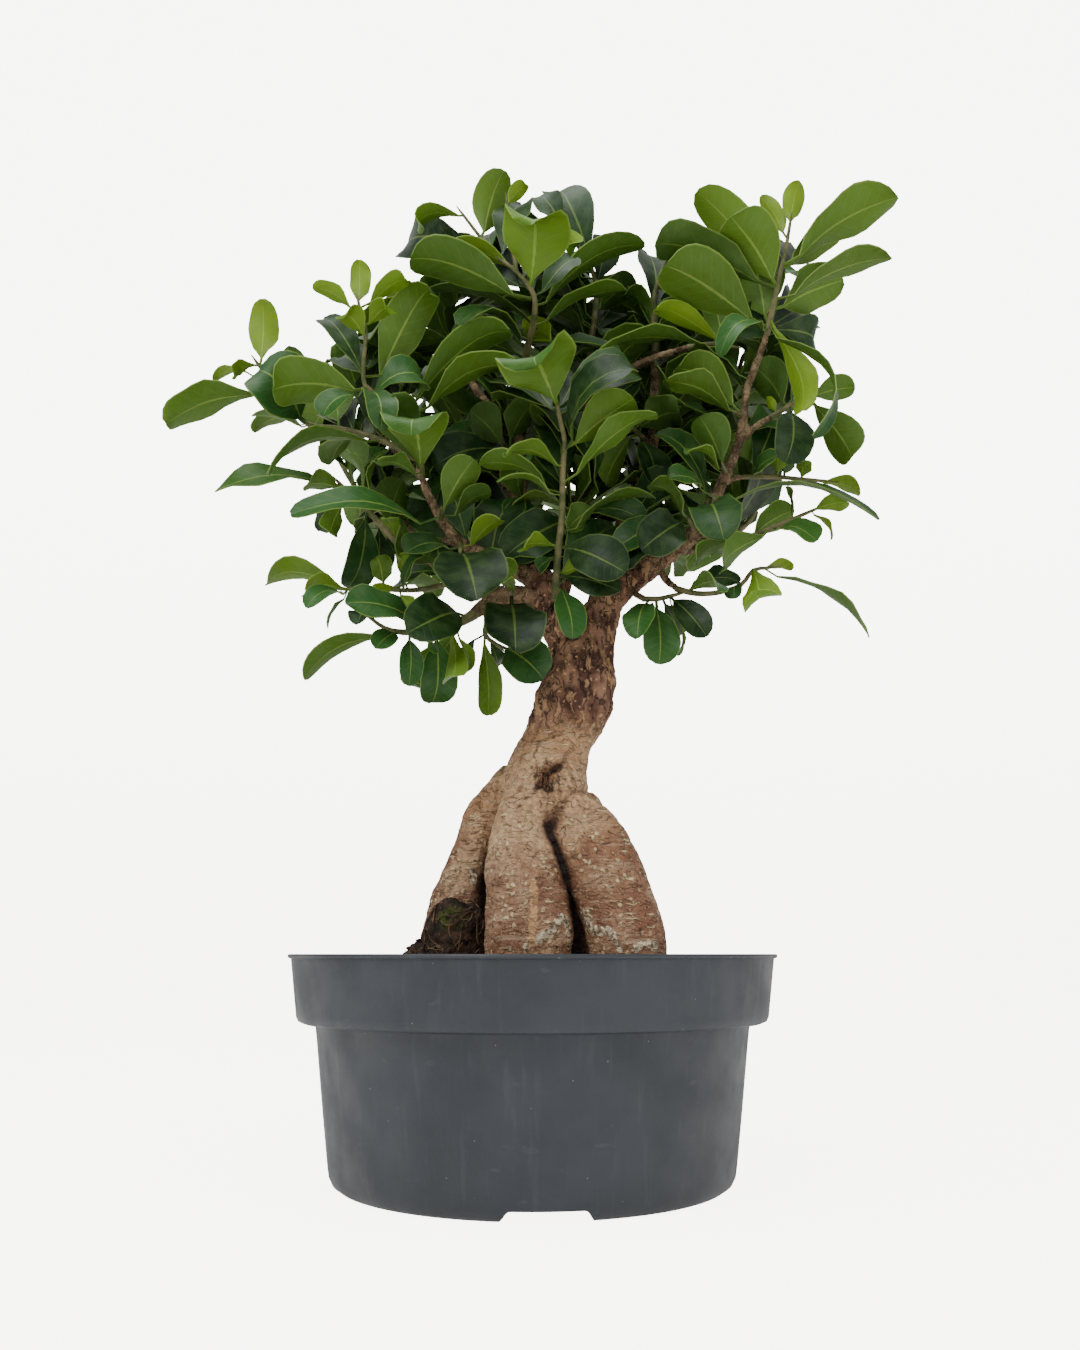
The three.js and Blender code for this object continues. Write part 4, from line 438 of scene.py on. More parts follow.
@dataclass(eq=False)
class Leaf:
    """One leaf: the point of the stem that it grows from, its foot, shape, tip and the turn of its face."""

    root: np.ndarray
    foot: np.ndarray
    width: float
    arch: float
    age: float
    turn: float = None
    aim: tuple = None
    tip: np.ndarray = None
    axis: np.ndarray = None
    upper: np.ndarray = None
    curl: float = 0


def turned_about(v, axis, degrees):
    angle = math.radians(degrees)
    return (
        v * math.cos(angle)
        + np.cross(axis, v) * math.sin(angle)
        + axis * float(axis @ v) * (1 - math.cos(angle))
    )


class Blade:
    """The blade's own directions and middle line."""

    def __init__(self, leaf, foot, tip):
        self.foot = foot
        self.span = tip - foot
        self.length = length_of(self.span)
        self.along = self.span / self.length
        along = self.along
        if leaf.upper is not None:
            self.upper = leaf.upper
        elif leaf.turn is None:
            self.upper = unit(UP - along * along[2])
        else:
            front = unit(EYE - foot)
            front = unit(front - along * float(front @ along))
            sky = np.cross(along, front)
            steep = abs(sky[2]) <= 0.15
            if (steep and sky[0] < 0) or (not steep and sky[2] < 0):
                sky = -sky
            turn = math.radians(leaf.turn)
            self.upper = front * math.cos(turn) + sky * math.sin(turn)
        self.across = np.cross(along, self.upper)
        self.rise = leaf.arch * self.length * 4

    def middle(self, t):
        t = np.asarray(t, dtype=float)[..., None]
        return self.foot + self.span * t + self.upper * (self.rise * t * (1 - t))

    def normal(self, t):
        t = np.asarray(t, dtype=float)[..., None]
        run = self.span + self.upper * (self.rise * (1 - 2 * t))
        run = run / np.linalg.norm(run, axis=-1, keepdims=True)
        upright = self.upper - run * (run @ self.upper)[..., None]
        return upright / np.linalg.norm(upright, axis=-1, keepdims=True)

    def edge(self, width, t, share, side):
        half = width / 2 * share
        lift = self.normal(t) * (abs(side) * half * FOLD_UP)
        return self.middle(t) + self.across * (side * half * FOLD_OUT) + lift

    def sheet(self, width):
        """Flat pieces that stand for the blade when leaves are set clear of each other."""
        rows = [
            [self.edge(width, t, share, -1), self.middle(t), self.edge(width, t, share, 1)]
            for t, share in [BLADE_FOOT] + BLADE_STATIONS
        ]
        tip = self.middle(1)
        faces = []
        for low, high in zip(rows, rows[1:]):
            for j in range(2):
                faces.append((low[j], low[j + 1], high[j]))
                faces.append((low[j + 1], high[j + 1], high[j]))
        end = rows[-1]
        faces.append((end[0], end[1], tip))
        faces.append((end[1], end[2], tip))
        return np.array(faces)

    def samples(self, width):
        """Points spread over the blade, and how far along it each lies."""
        rows = math.ceil(self.length / POINT_SPACING)
        columns = math.ceil(width / POINT_SPACING)
        t = np.arange(1, rows + 1) / rows
        side = 2 * np.arange(columns + 1) / columns - 1
        half = (width / 2 * np.array([share_at(one) for one in t]))[:, None, None]
        flat = self.across * (side[None, :, None] * half * FOLD_OUT)
        lift = self.normal(t)[:, None] * (np.abs(side)[None, :, None] * half * FOLD_UP)
        points = self.middle(t)[:, None] + flat + lift
        return np.repeat(t, columns + 1), points.reshape(-1, 3)


def share_at(t):
    rows = [BLADE_FOOT] + BLADE_STATIONS + [(1, 0)]
    for (low, from_share), (high, to_share) in zip(rows, rows[1:]):
        if t <= high:
            return from_share + (to_share - from_share) * (t - low) / (high - low)
    return 0


def to_segments(points, a, b):
    """Shares and distances from each point to each segment."""
    run = b - a
    square = np.einsum("sk,sk->s", run, run)
    share = np.einsum("psk,sk->ps", points[:, None] - a[None], run) / square
    share = np.clip(share, 0, 1)
    nearest = a[None] + share[..., None] * run[None]
    return share, np.linalg.norm(points[:, None] - nearest, axis=2)


def to_faces(points, faces):
    """The distance from each point to the nearest of the triangles."""
    a, b, c = faces[:, 0], faces[:, 1], faces[:, 2]
    ab, ac = b - a, c - a
    n = np.cross(ab, ac)
    area = np.einsum("fk,fk->f", n, n)
    ap = points[:, None] - a[None]
    v = np.einsum("fk,pfk->pf", n, np.cross(ap, ac[None])) / area
    w = np.einsum("fk,pfk->pf", n, np.cross(ab[None], ap)) / area
    inside = (v >= 0) & (w >= 0) & (v + w <= 1)
    plane = np.abs(np.einsum("fk,pfk->pf", n, ap)) / np.sqrt(area)
    edges = np.minimum(to_segments(points, a, b)[1], to_segments(points, b, c)[1])
    edges = np.minimum(edges, to_segments(points, c, a)[1])
    return np.where(inside, plane, edges).min(axis=1)


def nearest_on_stem(shoot, p):
    best = None
    for a, b in shoot.runs():
        run = b - a
        share = min(1.0, max(0.0, float((p - a) @ run) / float(run @ run)))
        distance = length_of(p - (a + run * share))
        if best is None or distance < best[0] - 1e-9:
            best = (distance, a + run * share)
    return best[1]


class Placed:
    """A leaf set on its stem with one swing of its tip."""

    def __init__(self, shoot, leaf, swing):
        self.shoot = shoot
        self.leaf = leaf
        self.root = leaf.root
        if leaf.turn is None:
            self.tip = turned_about(leaf.tip - leaf.root, leaf.axis, swing * 4) + leaf.root
        else:
            x, z, depth = leaf.aim
            self.tip = seen(x, z, depth + swing)
        span = self.tip - leaf.foot
        self.foot = leaf.foot.copy()
        if length_of(leaf.foot - leaf.root) < SHORT_STALK:
            self.foot = leaf.foot + span * SHORT_STALK_SHARE
        self.blade = Blade(leaf, self.foot, self.tip)
        self.places, self.points = self.blade.samples(leaf.width)
        self.centre = (self.foot + self.tip) / 2
        self.reach = float(np.linalg.norm(self.points - self.centre, axis=1).max())
        self.sheet = self.blade.sheet(leaf.width)
        self.stalk = np.array([self.root + (self.foot - self.root) * share for share in (0.5, 0.8)])


class Stems:
    """Every stem, branch and stalk as round segments."""

    def __init__(self):
        self.segments = []
        self.owners = []

    def add(self, a, b, ra, rb, shoot, stalk=False):
        self.segments.append(np.concatenate([a, b, (ra, rb, stalk)]))
        self.owners.append(shoot)

    def add_stalk(self, placed):
        self.add(placed.root, placed.foot, STALK_RADIUS, STALK_RADIUS, placed.shoot, stalk=True)

    def add_rows(self, rows, shoot=None):
        points, radii, _ = stations(rows)
        for a, b, ra, rb in zip(points, points[1:], radii, radii[1:]):
            self.add(a, b, ra, rb, shoot)

    def clear_of(self, placed, room_needed=STEM_CLEARANCE):
        table = np.array(self.segments)
        own = np.array([owner is (None if placed.shoot.woody else placed.shoot) for owner in self.owners])
        whole = np.concatenate([placed.points, placed.stalk])
        reach = float(np.linalg.norm(whole - placed.centre, axis=1).max())
        _, distance = to_segments(placed.centre[None], table[:, 0:3], table[:, 3:6])
        near = distance[0] < reach + table[:, 6:8].max(axis=1) + room_needed
        if not near.any():
            return True
        table, own = table[near], own[near]
        a, b, ra, rb = table[:, 0:3], table[:, 3:6], table[:, 6], table[:, 7]
        ignored = own & (table[:, 8] > 0)
        counted = ~ignored[None] & ~(own[None] & (placed.places < FREE_NEAR_STEM)[:, None])
        for points, counts in ((placed.points, counted), (placed.stalk, np.repeat(~own[None], 2, axis=0))):
            share, distance = to_segments(points, a, b)
            if (distance - (ra + (rb - ra) * share) - room_needed < 0)[counts].any():
                return False
        return True


def clear_of_leaves(placed, others, room_needed=LEAF_CLEARANCE):
    for other in others:
        gap = length_of(placed.centre - other.centre)
        if gap > placed.reach + other.reach + room_needed:
            continue
        own = other.shoot is placed.shoot
        points = placed.points[placed.places >= FREE_NEAR_LEAF] if own else placed.points
        if (to_faces(points, other.sheet) < room_needed).any():
            return False
        if not own and (to_faces(placed.stalk, other.sheet) < min(room_needed, STEM_CLEARANCE)).any():
            return False
    return True


def inside_crown(x, z):
    inside = False
    for (xi, zi), (xj, zj) in zip(CROWN, CROWN[-1:] + CROWN[:-1]):
        if (zi > z) != (zj > z) and x < (xj - xi) * (z - zi) / (zj - zi) + xi:
            inside = not inside
    return inside


def hidden_leaves(shoot, numbers):
    """Leaves round a hidden stem by 137.5 degrees from one to the next, leaning outward and up."""
    line = shoot.lines[0]
    leaves = []
    for i in range(shoot.count):
        root, along = along_line(line, min(0.2 + (i + 0.5) / shoot.count * 0.8, 0.999))
        out = unit(UP - along * along[2])
        out = turned_about(out, along, i * LEAF_ANGLE + 40 * next(numbers))
        length = 36 + 22 * next(numbers)
        direction = unit(out + along * 0.5 + UP * 0.1)
        tip = root + direction * length
        age = 0.1 + 0.4 * next(numbers) + (0.4 if i == shoot.count - 1 else 0)
        leaves.append(Leaf(root, root, length * 0.4, 0.14, age, tip=tip, axis=along))
    return leaves


def drawn_leaves(shoot):
    """The leaves in the stem's own rows, each with how far back its middle lies."""
    curls = CURLED.get(shoot.name, {})
    for i, (foot_x, foot_z, tip_x, tip_z, reach, width, turn, arch, age) in enumerate(shoot.leaf_rows):
        rough = nearest_on_stem(shoot, seen(foot_x, foot_z, shoot.leafy_rows[0][0][2]))
        foot = seen(foot_x, foot_z, rough[1])
        aim = (tip_x, tip_z, foot[1] + reach)
        curl = math.radians(curls.get(i, 0))
        leaf = Leaf(nearest_on_stem(shoot, foot), foot, width, arch, age, turn=turn, aim=aim, curl=curl)
        yield foot[1] + reach / 2, shoot, leaf


def grow_leaves():
    """All leafy stems, and the leaves that find room on them, the foremost first."""
    shoots = all_shoots()
    stems = Stems()
    for rows in ROOTS_AND_TRUNK + BRANCHES + [shoot.wood_rows for shoot in shoots]:
        stems.add_rows(rows)
    for shoot in shoots:
        for rows in shoot.leafy_rows:
            stems.add_rows(rows, shoot)
    drawn = [entry for shoot in shoots for entry in drawn_leaves(shoot)]
    waiting = [(shoot, leaf) for _, shoot, leaf in sorted(drawn, key=lambda entry: entry[0])]
    numbers = random_source(SEED)
    waiting += [(shoot, leaf) for shoot in shoots for leaf in hidden_leaves(shoot, numbers)]
    growing = []
    for shoot, leaf in waiting:
        for swing in SWINGS:
            placed = Placed(shoot, leaf, swing)
            inside = placed.tip[2] <= CROWN_TOP and inside_crown(*shown_at(placed.tip[None])[0])
            if leaf.turn is None and not inside:
                continue
            if stems.clear_of(placed) and clear_of_leaves(placed, growing):
                growing.append(placed)
                stems.add_stalk(placed)
                break
    return shoots, stems, growing


# Leaves that fill the shade inside the crown
FILLER_TRIES = 4700
FILLER_CLEARANCE = 0.5
GAP_TRIES = 48
GAP_CLEARANCE = 0.2
GAP_DEPTH = 14
GAP_NEAR = 8
GAP_FAR = 36
GAP_LEAF = (30, 62)
ROOT_SPACING = 5
BOX_MARGIN = 2
MOST_IN_FRONT = 0.04
BARE_STEMS = {"front_centre", "top_right", "right_outer", "right_twig", "low_right", "low_right_long",
              "low_right_front", "thin_left", "lower_left"}
CELL = 2.0
CROWN_AXIS = np.array([4.0, 14.0])


class FrontMap:
    """How far back the foremost drawn leaf or stem lies, in cells of the view."""

    def __init__(self):
        self.depths = {}

    def cells(self, points):
        return np.floor(shown_at(points) / CELL).astype(int).T

    def wide_cells(self, points):
        x, z = self.cells(points)
        return set(zip((x // 2).tolist(), (z // 2).tolist()))

    def add(self, points):
        for x, z, depth in zip(*self.cells(points), points[:, 1]):
            self.depths[x, z] = min(depth, self.depths.get((x, z), 1e9))

    def share_in_front(self, points):
        """The share of the points that would lie in front of what is drawn there."""
        fronts = [self.depths.get((x, z), -1e9) for x, z in zip(*self.cells(points))]
        drawn = np.array(fronts) > -1e8
        return float((drawn & (points[:, 1] < np.array(fronts) + 1)).mean())


def inner_leaf(shoot, root, along, direction, length, numbers):
    """A leaf inside the crown that shows its upper side to the light."""
    outward = np.append(root[:2] - CROWN_AXIS, 0.0)
    outward = outward / (length_of(outward) + 15)
    lean = np.array([next(numbers) - 0.5, next(numbers) - 1.3, next(numbers) - 0.5])
    upper = UP * 0.75 + outward * 0.9 + lean * 0.9
    foot = root + direction * (shoot.girth + 2) if shoot.woody else root
    # A low age paints these inner leaves dark: old leaves, and painted shade inside the crown.
    leaf = Leaf(root, foot, length * (0.42 + 0.1 * next(numbers)), 0.1 + 0.12 * next(numbers),
                0.28 * next(numbers), tip=root + direction * length, axis=along)
    leaf.upper = unit(upper - direction * float(upper @ direction))
    return Placed(shoot, leaf, 0)


def filler_leaf(shoot, numbers):
    """One leaf that leans outward from anywhere on its stem."""
    line = shoot.lines[0] if next(numbers) < 0.8 else shoot.lines[-1]
    root, along = along_line(line, 0.02 + 0.96 * next(numbers))
    side = unit(np.cross(along, np.array([0.3, 0.5, 0.81])))
    out = turned_about(side, along, 360 * next(numbers))
    length = 33 + 25 * next(numbers)
    direction = unit(out + along * (0.2 + 0.5 * next(numbers)) + UP * (0.25 - 0.5 * next(numbers)))
    return inner_leaf(shoot, root, along, direction, length, numbers)


def aimed_leaf(roots, gap, numbers):
    """One leaf from a stem nearby whose middle covers a gap in the view."""
    shoot, root, along = roots[int(next(numbers) * len(roots))]
    target = seen(gap[0], gap[1], root[1] + 30 * (next(numbers) - 0.5))
    run = target - root
    length = length_of(run) * (1.5 + 0.6 * next(numbers))
    if not GAP_LEAF[0] < length < GAP_LEAF[1]:
        return None
    return inner_leaf(shoot, root, along, unit(run), length, numbers)


class Filling:
    """The leaves set in the crown so far, and what of the view they cover."""

    def __init__(self, shoots, stems, growing):
        self.stems = stems
        self.leaves = list(growing)
        self.fillers = []
        self.covered = set()
        self.front = FrontMap()
        for placed in growing:
            self.covered |= self.front.wide_cells(placed.points)
            if placed.leaf.turn is not None:
                self.front.add(placed.points)
                self.front.add(placed.stalk)
        bare = [shoot.rows for shoot in shoots if shoot.name in BARE_STEMS]
        for rows in bare + [BRANCHES[1], BRANCHES[4][:5], BRANCHES[5]]:
            self.front.add(smooth_row(*stations(rows)[:2], step=1.5)[0])
        self.low = np.array(CAD_BOX[0]) / MM + BOX_MARGIN
        self.high = np.array(CAD_BOX[1]) / MM - BOX_MARGIN

    def fits(self, placed, room, among_leaves=True):
        points = placed.points
        if (points.min(axis=0) < self.low).any() or (points.max(axis=0) > self.high).any():
            return False
        x, z = self.front.cells(points)
        if not all(inside_crown((i + 0.5) * CELL, (j + 0.5) * CELL) for i, j in zip(x[::3], z[::3])):
            return False
        if self.front.share_in_front(points) > MOST_IN_FRONT:
            return False
        if among_leaves and not clear_of_leaves(placed, self.leaves, room):
            return False
        return self.stems.clear_of(placed, room)

    def keep(self, placed):
        self.fillers.append(placed)
        self.leaves.append(placed)
        self.covered |= self.front.wide_cells(placed.points)
        self.stems.add_stalk(placed)

    def gaps(self):
        """Middles of the wide cells of the crown that nothing covers."""
        wide = 2 * CELL
        x = [point[0] for point in CROWN]
        z = [point[1] for point in CROWN]
        for i in range(math.floor(min(x) / wide), math.ceil(max(x) / wide)):
            for j in range(math.floor(min(z) / wide), math.ceil(max(z) / wide)):
                middle = ((i + 0.5) * wide, (j + 0.5) * wide)
                if (i, j) not in self.covered and inside_crown(*middle):
                    yield (i, j), middle


def fill_crown(shoots, stems, growing):
    """Dark leaves behind the drawn ones, wherever there is room for them; a low age paints them dark as old
    leaves and as painted shade.
    """
    filling = Filling(shoots, stems, growing)
    numbers = random_source(SEED + 2)
    sources = shoots + [Spur(rows) for rows in BRANCHES]
    reach = [12 + sum(length_of(b - a) for a, b in one.runs()) for one in sources]
    chances = np.cumsum(reach) / sum(reach)
    for _ in range(FILLER_TRIES):
        placed = filler_leaf(sources[int(np.searchsorted(chances, next(numbers)))], numbers)
        if filling.fits(placed, FILLER_CLEARANCE):
            filling.keep(placed)
    roots = []
    for one in sources:
        for a, b in one.runs():
            count = math.ceil(length_of(b - a) / ROOT_SPACING)
            roots += [(one, a + (b - a) * (i + 0.5) / count, unit(b - a)) for i in range(count)]
    shown = shown_at(np.array([root for _, root, _ in roots]))
    for cell, gap in list(filling.gaps()):
        away = np.linalg.norm(shown - gap, axis=1)
        near = [roots[i] for i in np.nonzero((away > GAP_NEAR) & (away < GAP_FAR))[0]]
        for attempt in range(GAP_TRIES):
            if cell in filling.covered or not near:
                break
            placed = aimed_leaf(near, gap, numbers)
            if placed is None:
                continue
            hidden = attempt > GAP_TRIES / 2 and placed.points[:, 1].min() > GAP_DEPTH
            if filling.fits(placed, GAP_CLEARANCE, among_leaves=not hidden):
                filling.keep(placed)
    return filling.fillers


# Modelling helpers
def start_clean():
    """Object mode with nothing selected."""
    if bpy.context.object and bpy.context.object.mode != "OBJECT":
        bpy.ops.object.mode_set(mode="OBJECT")
    bpy.ops.object.select_all(action="DESELECT")


def select_only(*objects):
    start_clean()
    for one in objects:
        one.select_set(True)
    bpy.context.view_layer.objects.active = objects[0]


def edit_all():
    bpy.ops.object.mode_set(mode="EDIT")
    bpy.ops.mesh.select_all(action="SELECT")


def leave_edit():
    """Faces turned outward, and back to object mode."""
    bpy.ops.mesh.select_all(action="SELECT")
    bpy.ops.mesh.normals_make_consistent(inside=False)
    bpy.ops.object.mode_set(mode="OBJECT")


def next_ring(rise, ratio, level):
    """Extrudes the selected ring upward to a level and widens it there."""
    bpy.ops.mesh.extrude_region_move(TRANSFORM_OT_translate={"value": (0, 0, rise)})
    bpy.ops.transform.resize(value=(ratio, ratio, 1), center_override=(0, 0, level))


def named(name):
    made = bpy.context.object
    made.name = name
    made.data.name = name
    return made


def settle(piece):
    """The object goes to the origin, with its place in its mesh."""
    select_only(piece)
    bpy.ops.object.transform_apply(location=True, rotation=True, scale=True)


def apply_modifiers(piece):
    select_only(piece)
    for modifier in list(piece.modifiers):
        bpy.ops.object.modifier_apply(modifier=modifier.name)


def finish_piece(piece, slot, *nodes):
    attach(piece, "root")
    if nodes:
        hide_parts(*nodes)


def copy_of(pattern):
    """A copy with a mesh of its own."""
    made = pattern.copy()
    made.data = pattern.data.copy()
    bpy.context.collection.objects.link(made)
    return made


def coordinates(mesh):
    flat = np.empty(len(mesh.vertices) * 3)
    mesh.vertices.foreach_get("co", flat)
    return flat.reshape(-1, 3)


def set_coordinates(mesh, points):
    mesh.vertices.foreach_set("co", np.asarray(points, dtype=np.float32).ravel())
    mesh.update()


def normals_of(mesh):
    flat = np.empty(len(mesh.vertices) * 3)
    mesh.vertex_normals.foreach_get("vector", flat)
    return flat.reshape(-1, 3)


def set_values(mesh, **named_values):
    """Values for each vertex that materials read by their names."""
    for name, values in named_values.items():
        stored = mesh.attributes.get(name) or mesh.attributes.new(name, "FLOAT", "POINT")
        stored.data.foreach_set("value", np.asarray(values, dtype=np.float32))


def eased(low, high, x):
    t = np.clip((x - low) / (high - low), 0, 1)
    return t * t * (3 - 2 * t)


def noise_over(points, sizes, seed=0.0):
    """Smooth noise from -1 to 1 at each point, with the size of its grain, or that along x, y and z."""
    scaled = points / np.array(sizes) + seed
    return np.array([noise.noise(Vector(p)) for p in scaled])


# Shader helpers
def put(tree, socket, value):
    """Sets a socket to a number or colour, or links it to another socket."""
    if isinstance(value, bpy.types.NodeSocket):
        tree.links.new(value, socket)
    else:
        socket.default_value = value


def node(tree, kind, inputs=None, **settings):
    made = tree.nodes.new(kind)
    for name, value in settings.items():
        setattr(made, name, value)
    for name, value in (inputs or {}).items():
        put(tree, made.inputs[name], value)
    return made


def math_of(tree, operation, *values):
    return node(tree, "ShaderNodeMath", dict(enumerate(values)), operation=operation).outputs[0]


def times(tree, a, b):
    return math_of(tree, "MULTIPLY", a, b)


def plus(tree, a, b):
    return math_of(tree, "ADD", a, b)


def ranged(tree, value, low, high, to_low=0.0, to_high=1.0):
    inputs = {"Value": value, "From Min": low, "From Max": high, "To Min": to_low, "To Max": to_high}
    return node(tree, "ShaderNodeMapRange", inputs, interpolation_type="SMOOTHSTEP").outputs[0]


def mixed(tree, factor, a, b, blend="MIX"):
    made = node(tree, "ShaderNodeMix", {0: factor, 6: a, 7: b}, data_type="RGBA", blend_type=blend)
    return made.outputs[2]


def stretched(tree, coords, scale):
    return node(tree, "ShaderNodeMapping", {"Vector": coords, "Scale": scale}).outputs[0]


def warped(tree, coords, scale, amount):
    """Coordinates pushed about, so that what is drawn on them turns ragged."""
    push = node(tree, "ShaderNodeTexNoise", {"Vector": coords, "Scale": scale}).outputs["Color"]
    inputs = {0: push, 1: (amount, amount, amount), 2: coords}
    return node(tree, "ShaderNodeVectorMath", inputs, operation="MULTIPLY_ADD").outputs[0]


def object_coords(tree):
    return node(tree, "ShaderNodeTexCoord").outputs["Object"]


def attribute(tree, name):
    return node(tree, "ShaderNodeAttribute", attribute_name=name).outputs["Fac"]


def noise_of(tree, coords, scale, detail=3.0):
    inputs = {"Vector": coords, "Scale": scale, "Detail": detail}
    return node(tree, "ShaderNodeTexNoise", inputs).outputs["Fac"]


def linear(red, green, blue):
    """An opaque colour given as it shows, from 0 to 255."""
    def one(value):
        value /= 255
        return value / 12.92 if value <= 0.04045 else ((value + 0.055) / 1.055) ** 2.4
    return (one(red), one(green), one(blue), 1.0)


def effect(name, **numbers):
    """A new shader node group that makes a mask from a vector and some numbers."""
    group = bpy.data.node_groups.new(name, "ShaderNodeTree")
    group.interface.new_socket("Vector", in_out="INPUT", socket_type="NodeSocketVector")
    for label, default in numbers.items():
        socket = group.interface.new_socket(label, in_out="INPUT", socket_type="NodeSocketFloat")
        socket.default_value = default
    group.interface.new_socket("Mask", in_out="OUTPUT", socket_type="NodeSocketFloat")
    return group, node(group, "NodeGroupInput").outputs, node(group, "NodeGroupOutput").inputs["Mask"]


def placed_effect(tree, name, inputs):
    return node(tree, "ShaderNodeGroup", inputs, node_tree=bpy.data.node_groups[name]).outputs["Mask"]


def mottling(tree, coords, scale, low, high):
    return placed_effect(tree, "Mottling", {"Vector": coords, "Scale": scale, "Low": low, "High": high})


def dots(tree, coords, scale, size, rarity):
    return placed_effect(tree, "Dots", {"Vector": coords, "Scale": scale, "Size": size, "Rarity": rarity})


def cracks(tree, coords, scale, width):
    return placed_effect(tree, "Cracks", {"Vector": coords, "Scale": scale, "Width": width})


def tinted(tree, colour, mask, strength, tint):
    """The colour with some of the tint laid over it where the mask is."""
    return mixed(tree, times(tree, mask, strength), colour, tint)


def make_effects():
    """Mottling, dots and cracks that several materials use."""
    group, given, mask = effect("Mottling", Scale=50.0, Low=0.4, High=0.6)
    cloud = noise_of(group, given["Vector"], given["Scale"], 5.0)
    put(group, mask, ranged(group, cloud, given["Low"], given["High"]))
    group, given, mask = effect("Dots", Scale=300.0, Size=0.2, Rarity=0.5)
    cells = node(group, "ShaderNodeTexVoronoi", {"Vector": given["Vector"], "Scale": given["Scale"]})
    spread = node(group, "ShaderNodeSeparateColor", {"Color": cells.outputs["Color"]}).outputs[0]
    chosen = math_of(group, "GREATER_THAN", spread, given["Rarity"])
    dot = ranged(group, cells.outputs["Distance"], given["Size"], times(group, given["Size"], 0.45))
    put(group, mask, times(group, dot, chosen))
    group, given, mask = effect("Cracks", Scale=100.0, Width=0.02)
    cloud = noise_of(group, given["Vector"], given["Scale"], 4.0)
    off = math_of(group, "ABSOLUTE", math_of(group, "SUBTRACT", cloud, 0.5))
    put(group, mask, ranged(group, off, given["Width"], 0.0))


def new_material(name):
    material = bpy.data.materials.new(name)
    material.use_nodes = True
    tree = material.node_tree
    shader = tree.nodes["Principled BSDF"]
    return material, tree, shader


def wire(tree, shader, colour, roughness, height, strength, distance):
    """Colour, roughness and relief of a material's surface."""
    put(tree, shader.inputs["Base Color"], colour)
    put(tree, shader.inputs["Roughness"], roughness)
    bump = node(tree, "ShaderNodeBump", {"Height": height, "Strength": strength, "Distance": distance})
    put(tree, shader.inputs["Normal"], bump.outputs[0])


def pot_material(settings):
    """Slate grey moulded plastic with scuffs, pale dust and faint streaks."""
    material, tree, shader = new_material("pot plastic")
    coords = object_coords(tree)
    dark = (*settings.colour, 1.0)
    pale = tuple(min(1.0, c * 1.3) for c in settings.colour) + (1.0,)
    clouds = mottling(tree, coords, 26.0, 0.36, 0.68)
    colour = mixed(tree, clouds, dark, pale)
    upright = stretched(tree, coords, (240, 240, 16))
    streaks = ranged(tree, noise_of(tree, upright, 1.0, 4.0), 0.55, 0.75, 0.0, 0.12)
    colour = mixed(tree, streaks, colour, linear(104, 110, 116))
    smudged = stretched(tree, coords, (80, 80, 190))
    scuffs = mottling(tree, smudged, 1.0, 0.66, 0.74)
    colour = tinted(tree, colour, scuffs, 0.12, linear(118, 122, 126))
    dust = dots(tree, coords, 420.0, 0.15, 0.95)
    colour = tinted(tree, colour, dust, 0.5, linear(160, 162, 162))
    fine = noise_of(tree, coords, 1500.0, 2.0)
    roughness = ranged(tree, noise_of(tree, coords, 60.0), 0.3, 0.7, 0.42, 0.56)
    wire(tree, shader, colour, roughness, fine, 0.12, 0.0003)
    return material


def soil_material():
    """Damp potting mix: dark crumbs with paler bits, and moss where there is any."""
    material, tree, shader = new_material("potting mix")
    coords = object_coords(tree)
    clouds = mottling(tree, coords, 170.0, 0.35, 0.65)
    colour = mixed(tree, clouds, linear(30, 22, 17), linear(82, 62, 46))
    bits = dots(tree, coords, 620.0, 0.4, 0.78)
    colour = tinted(tree, colour, bits, 0.55, linear(150, 124, 94))
    green = ranged(tree, attribute(tree, "moss"), 0.1, 0.7)
    patches = mottling(tree, coords, 330.0, 0.42, 0.56)
    colour = tinted(tree, colour, green, patches, linear(72, 84, 28))
    wire(tree, shader, colour, 0.92, noise_of(tree, coords, 700.0, 6.0), 0.8, 0.0012)
    return material


def fibre_material():
    """Pale brown hair roots."""
    material, tree, shader = new_material("fine roots")
    coords = object_coords(tree)
    clouds = mottling(tree, coords, 260.0, 0.35, 0.65)
    colour = mixed(tree, clouds, linear(58, 42, 30), linear(134, 106, 78))
    wire(tree, shader, colour, 0.85, noise_of(tree, coords, 1400.0), 0.3, 0.0002)
    return material


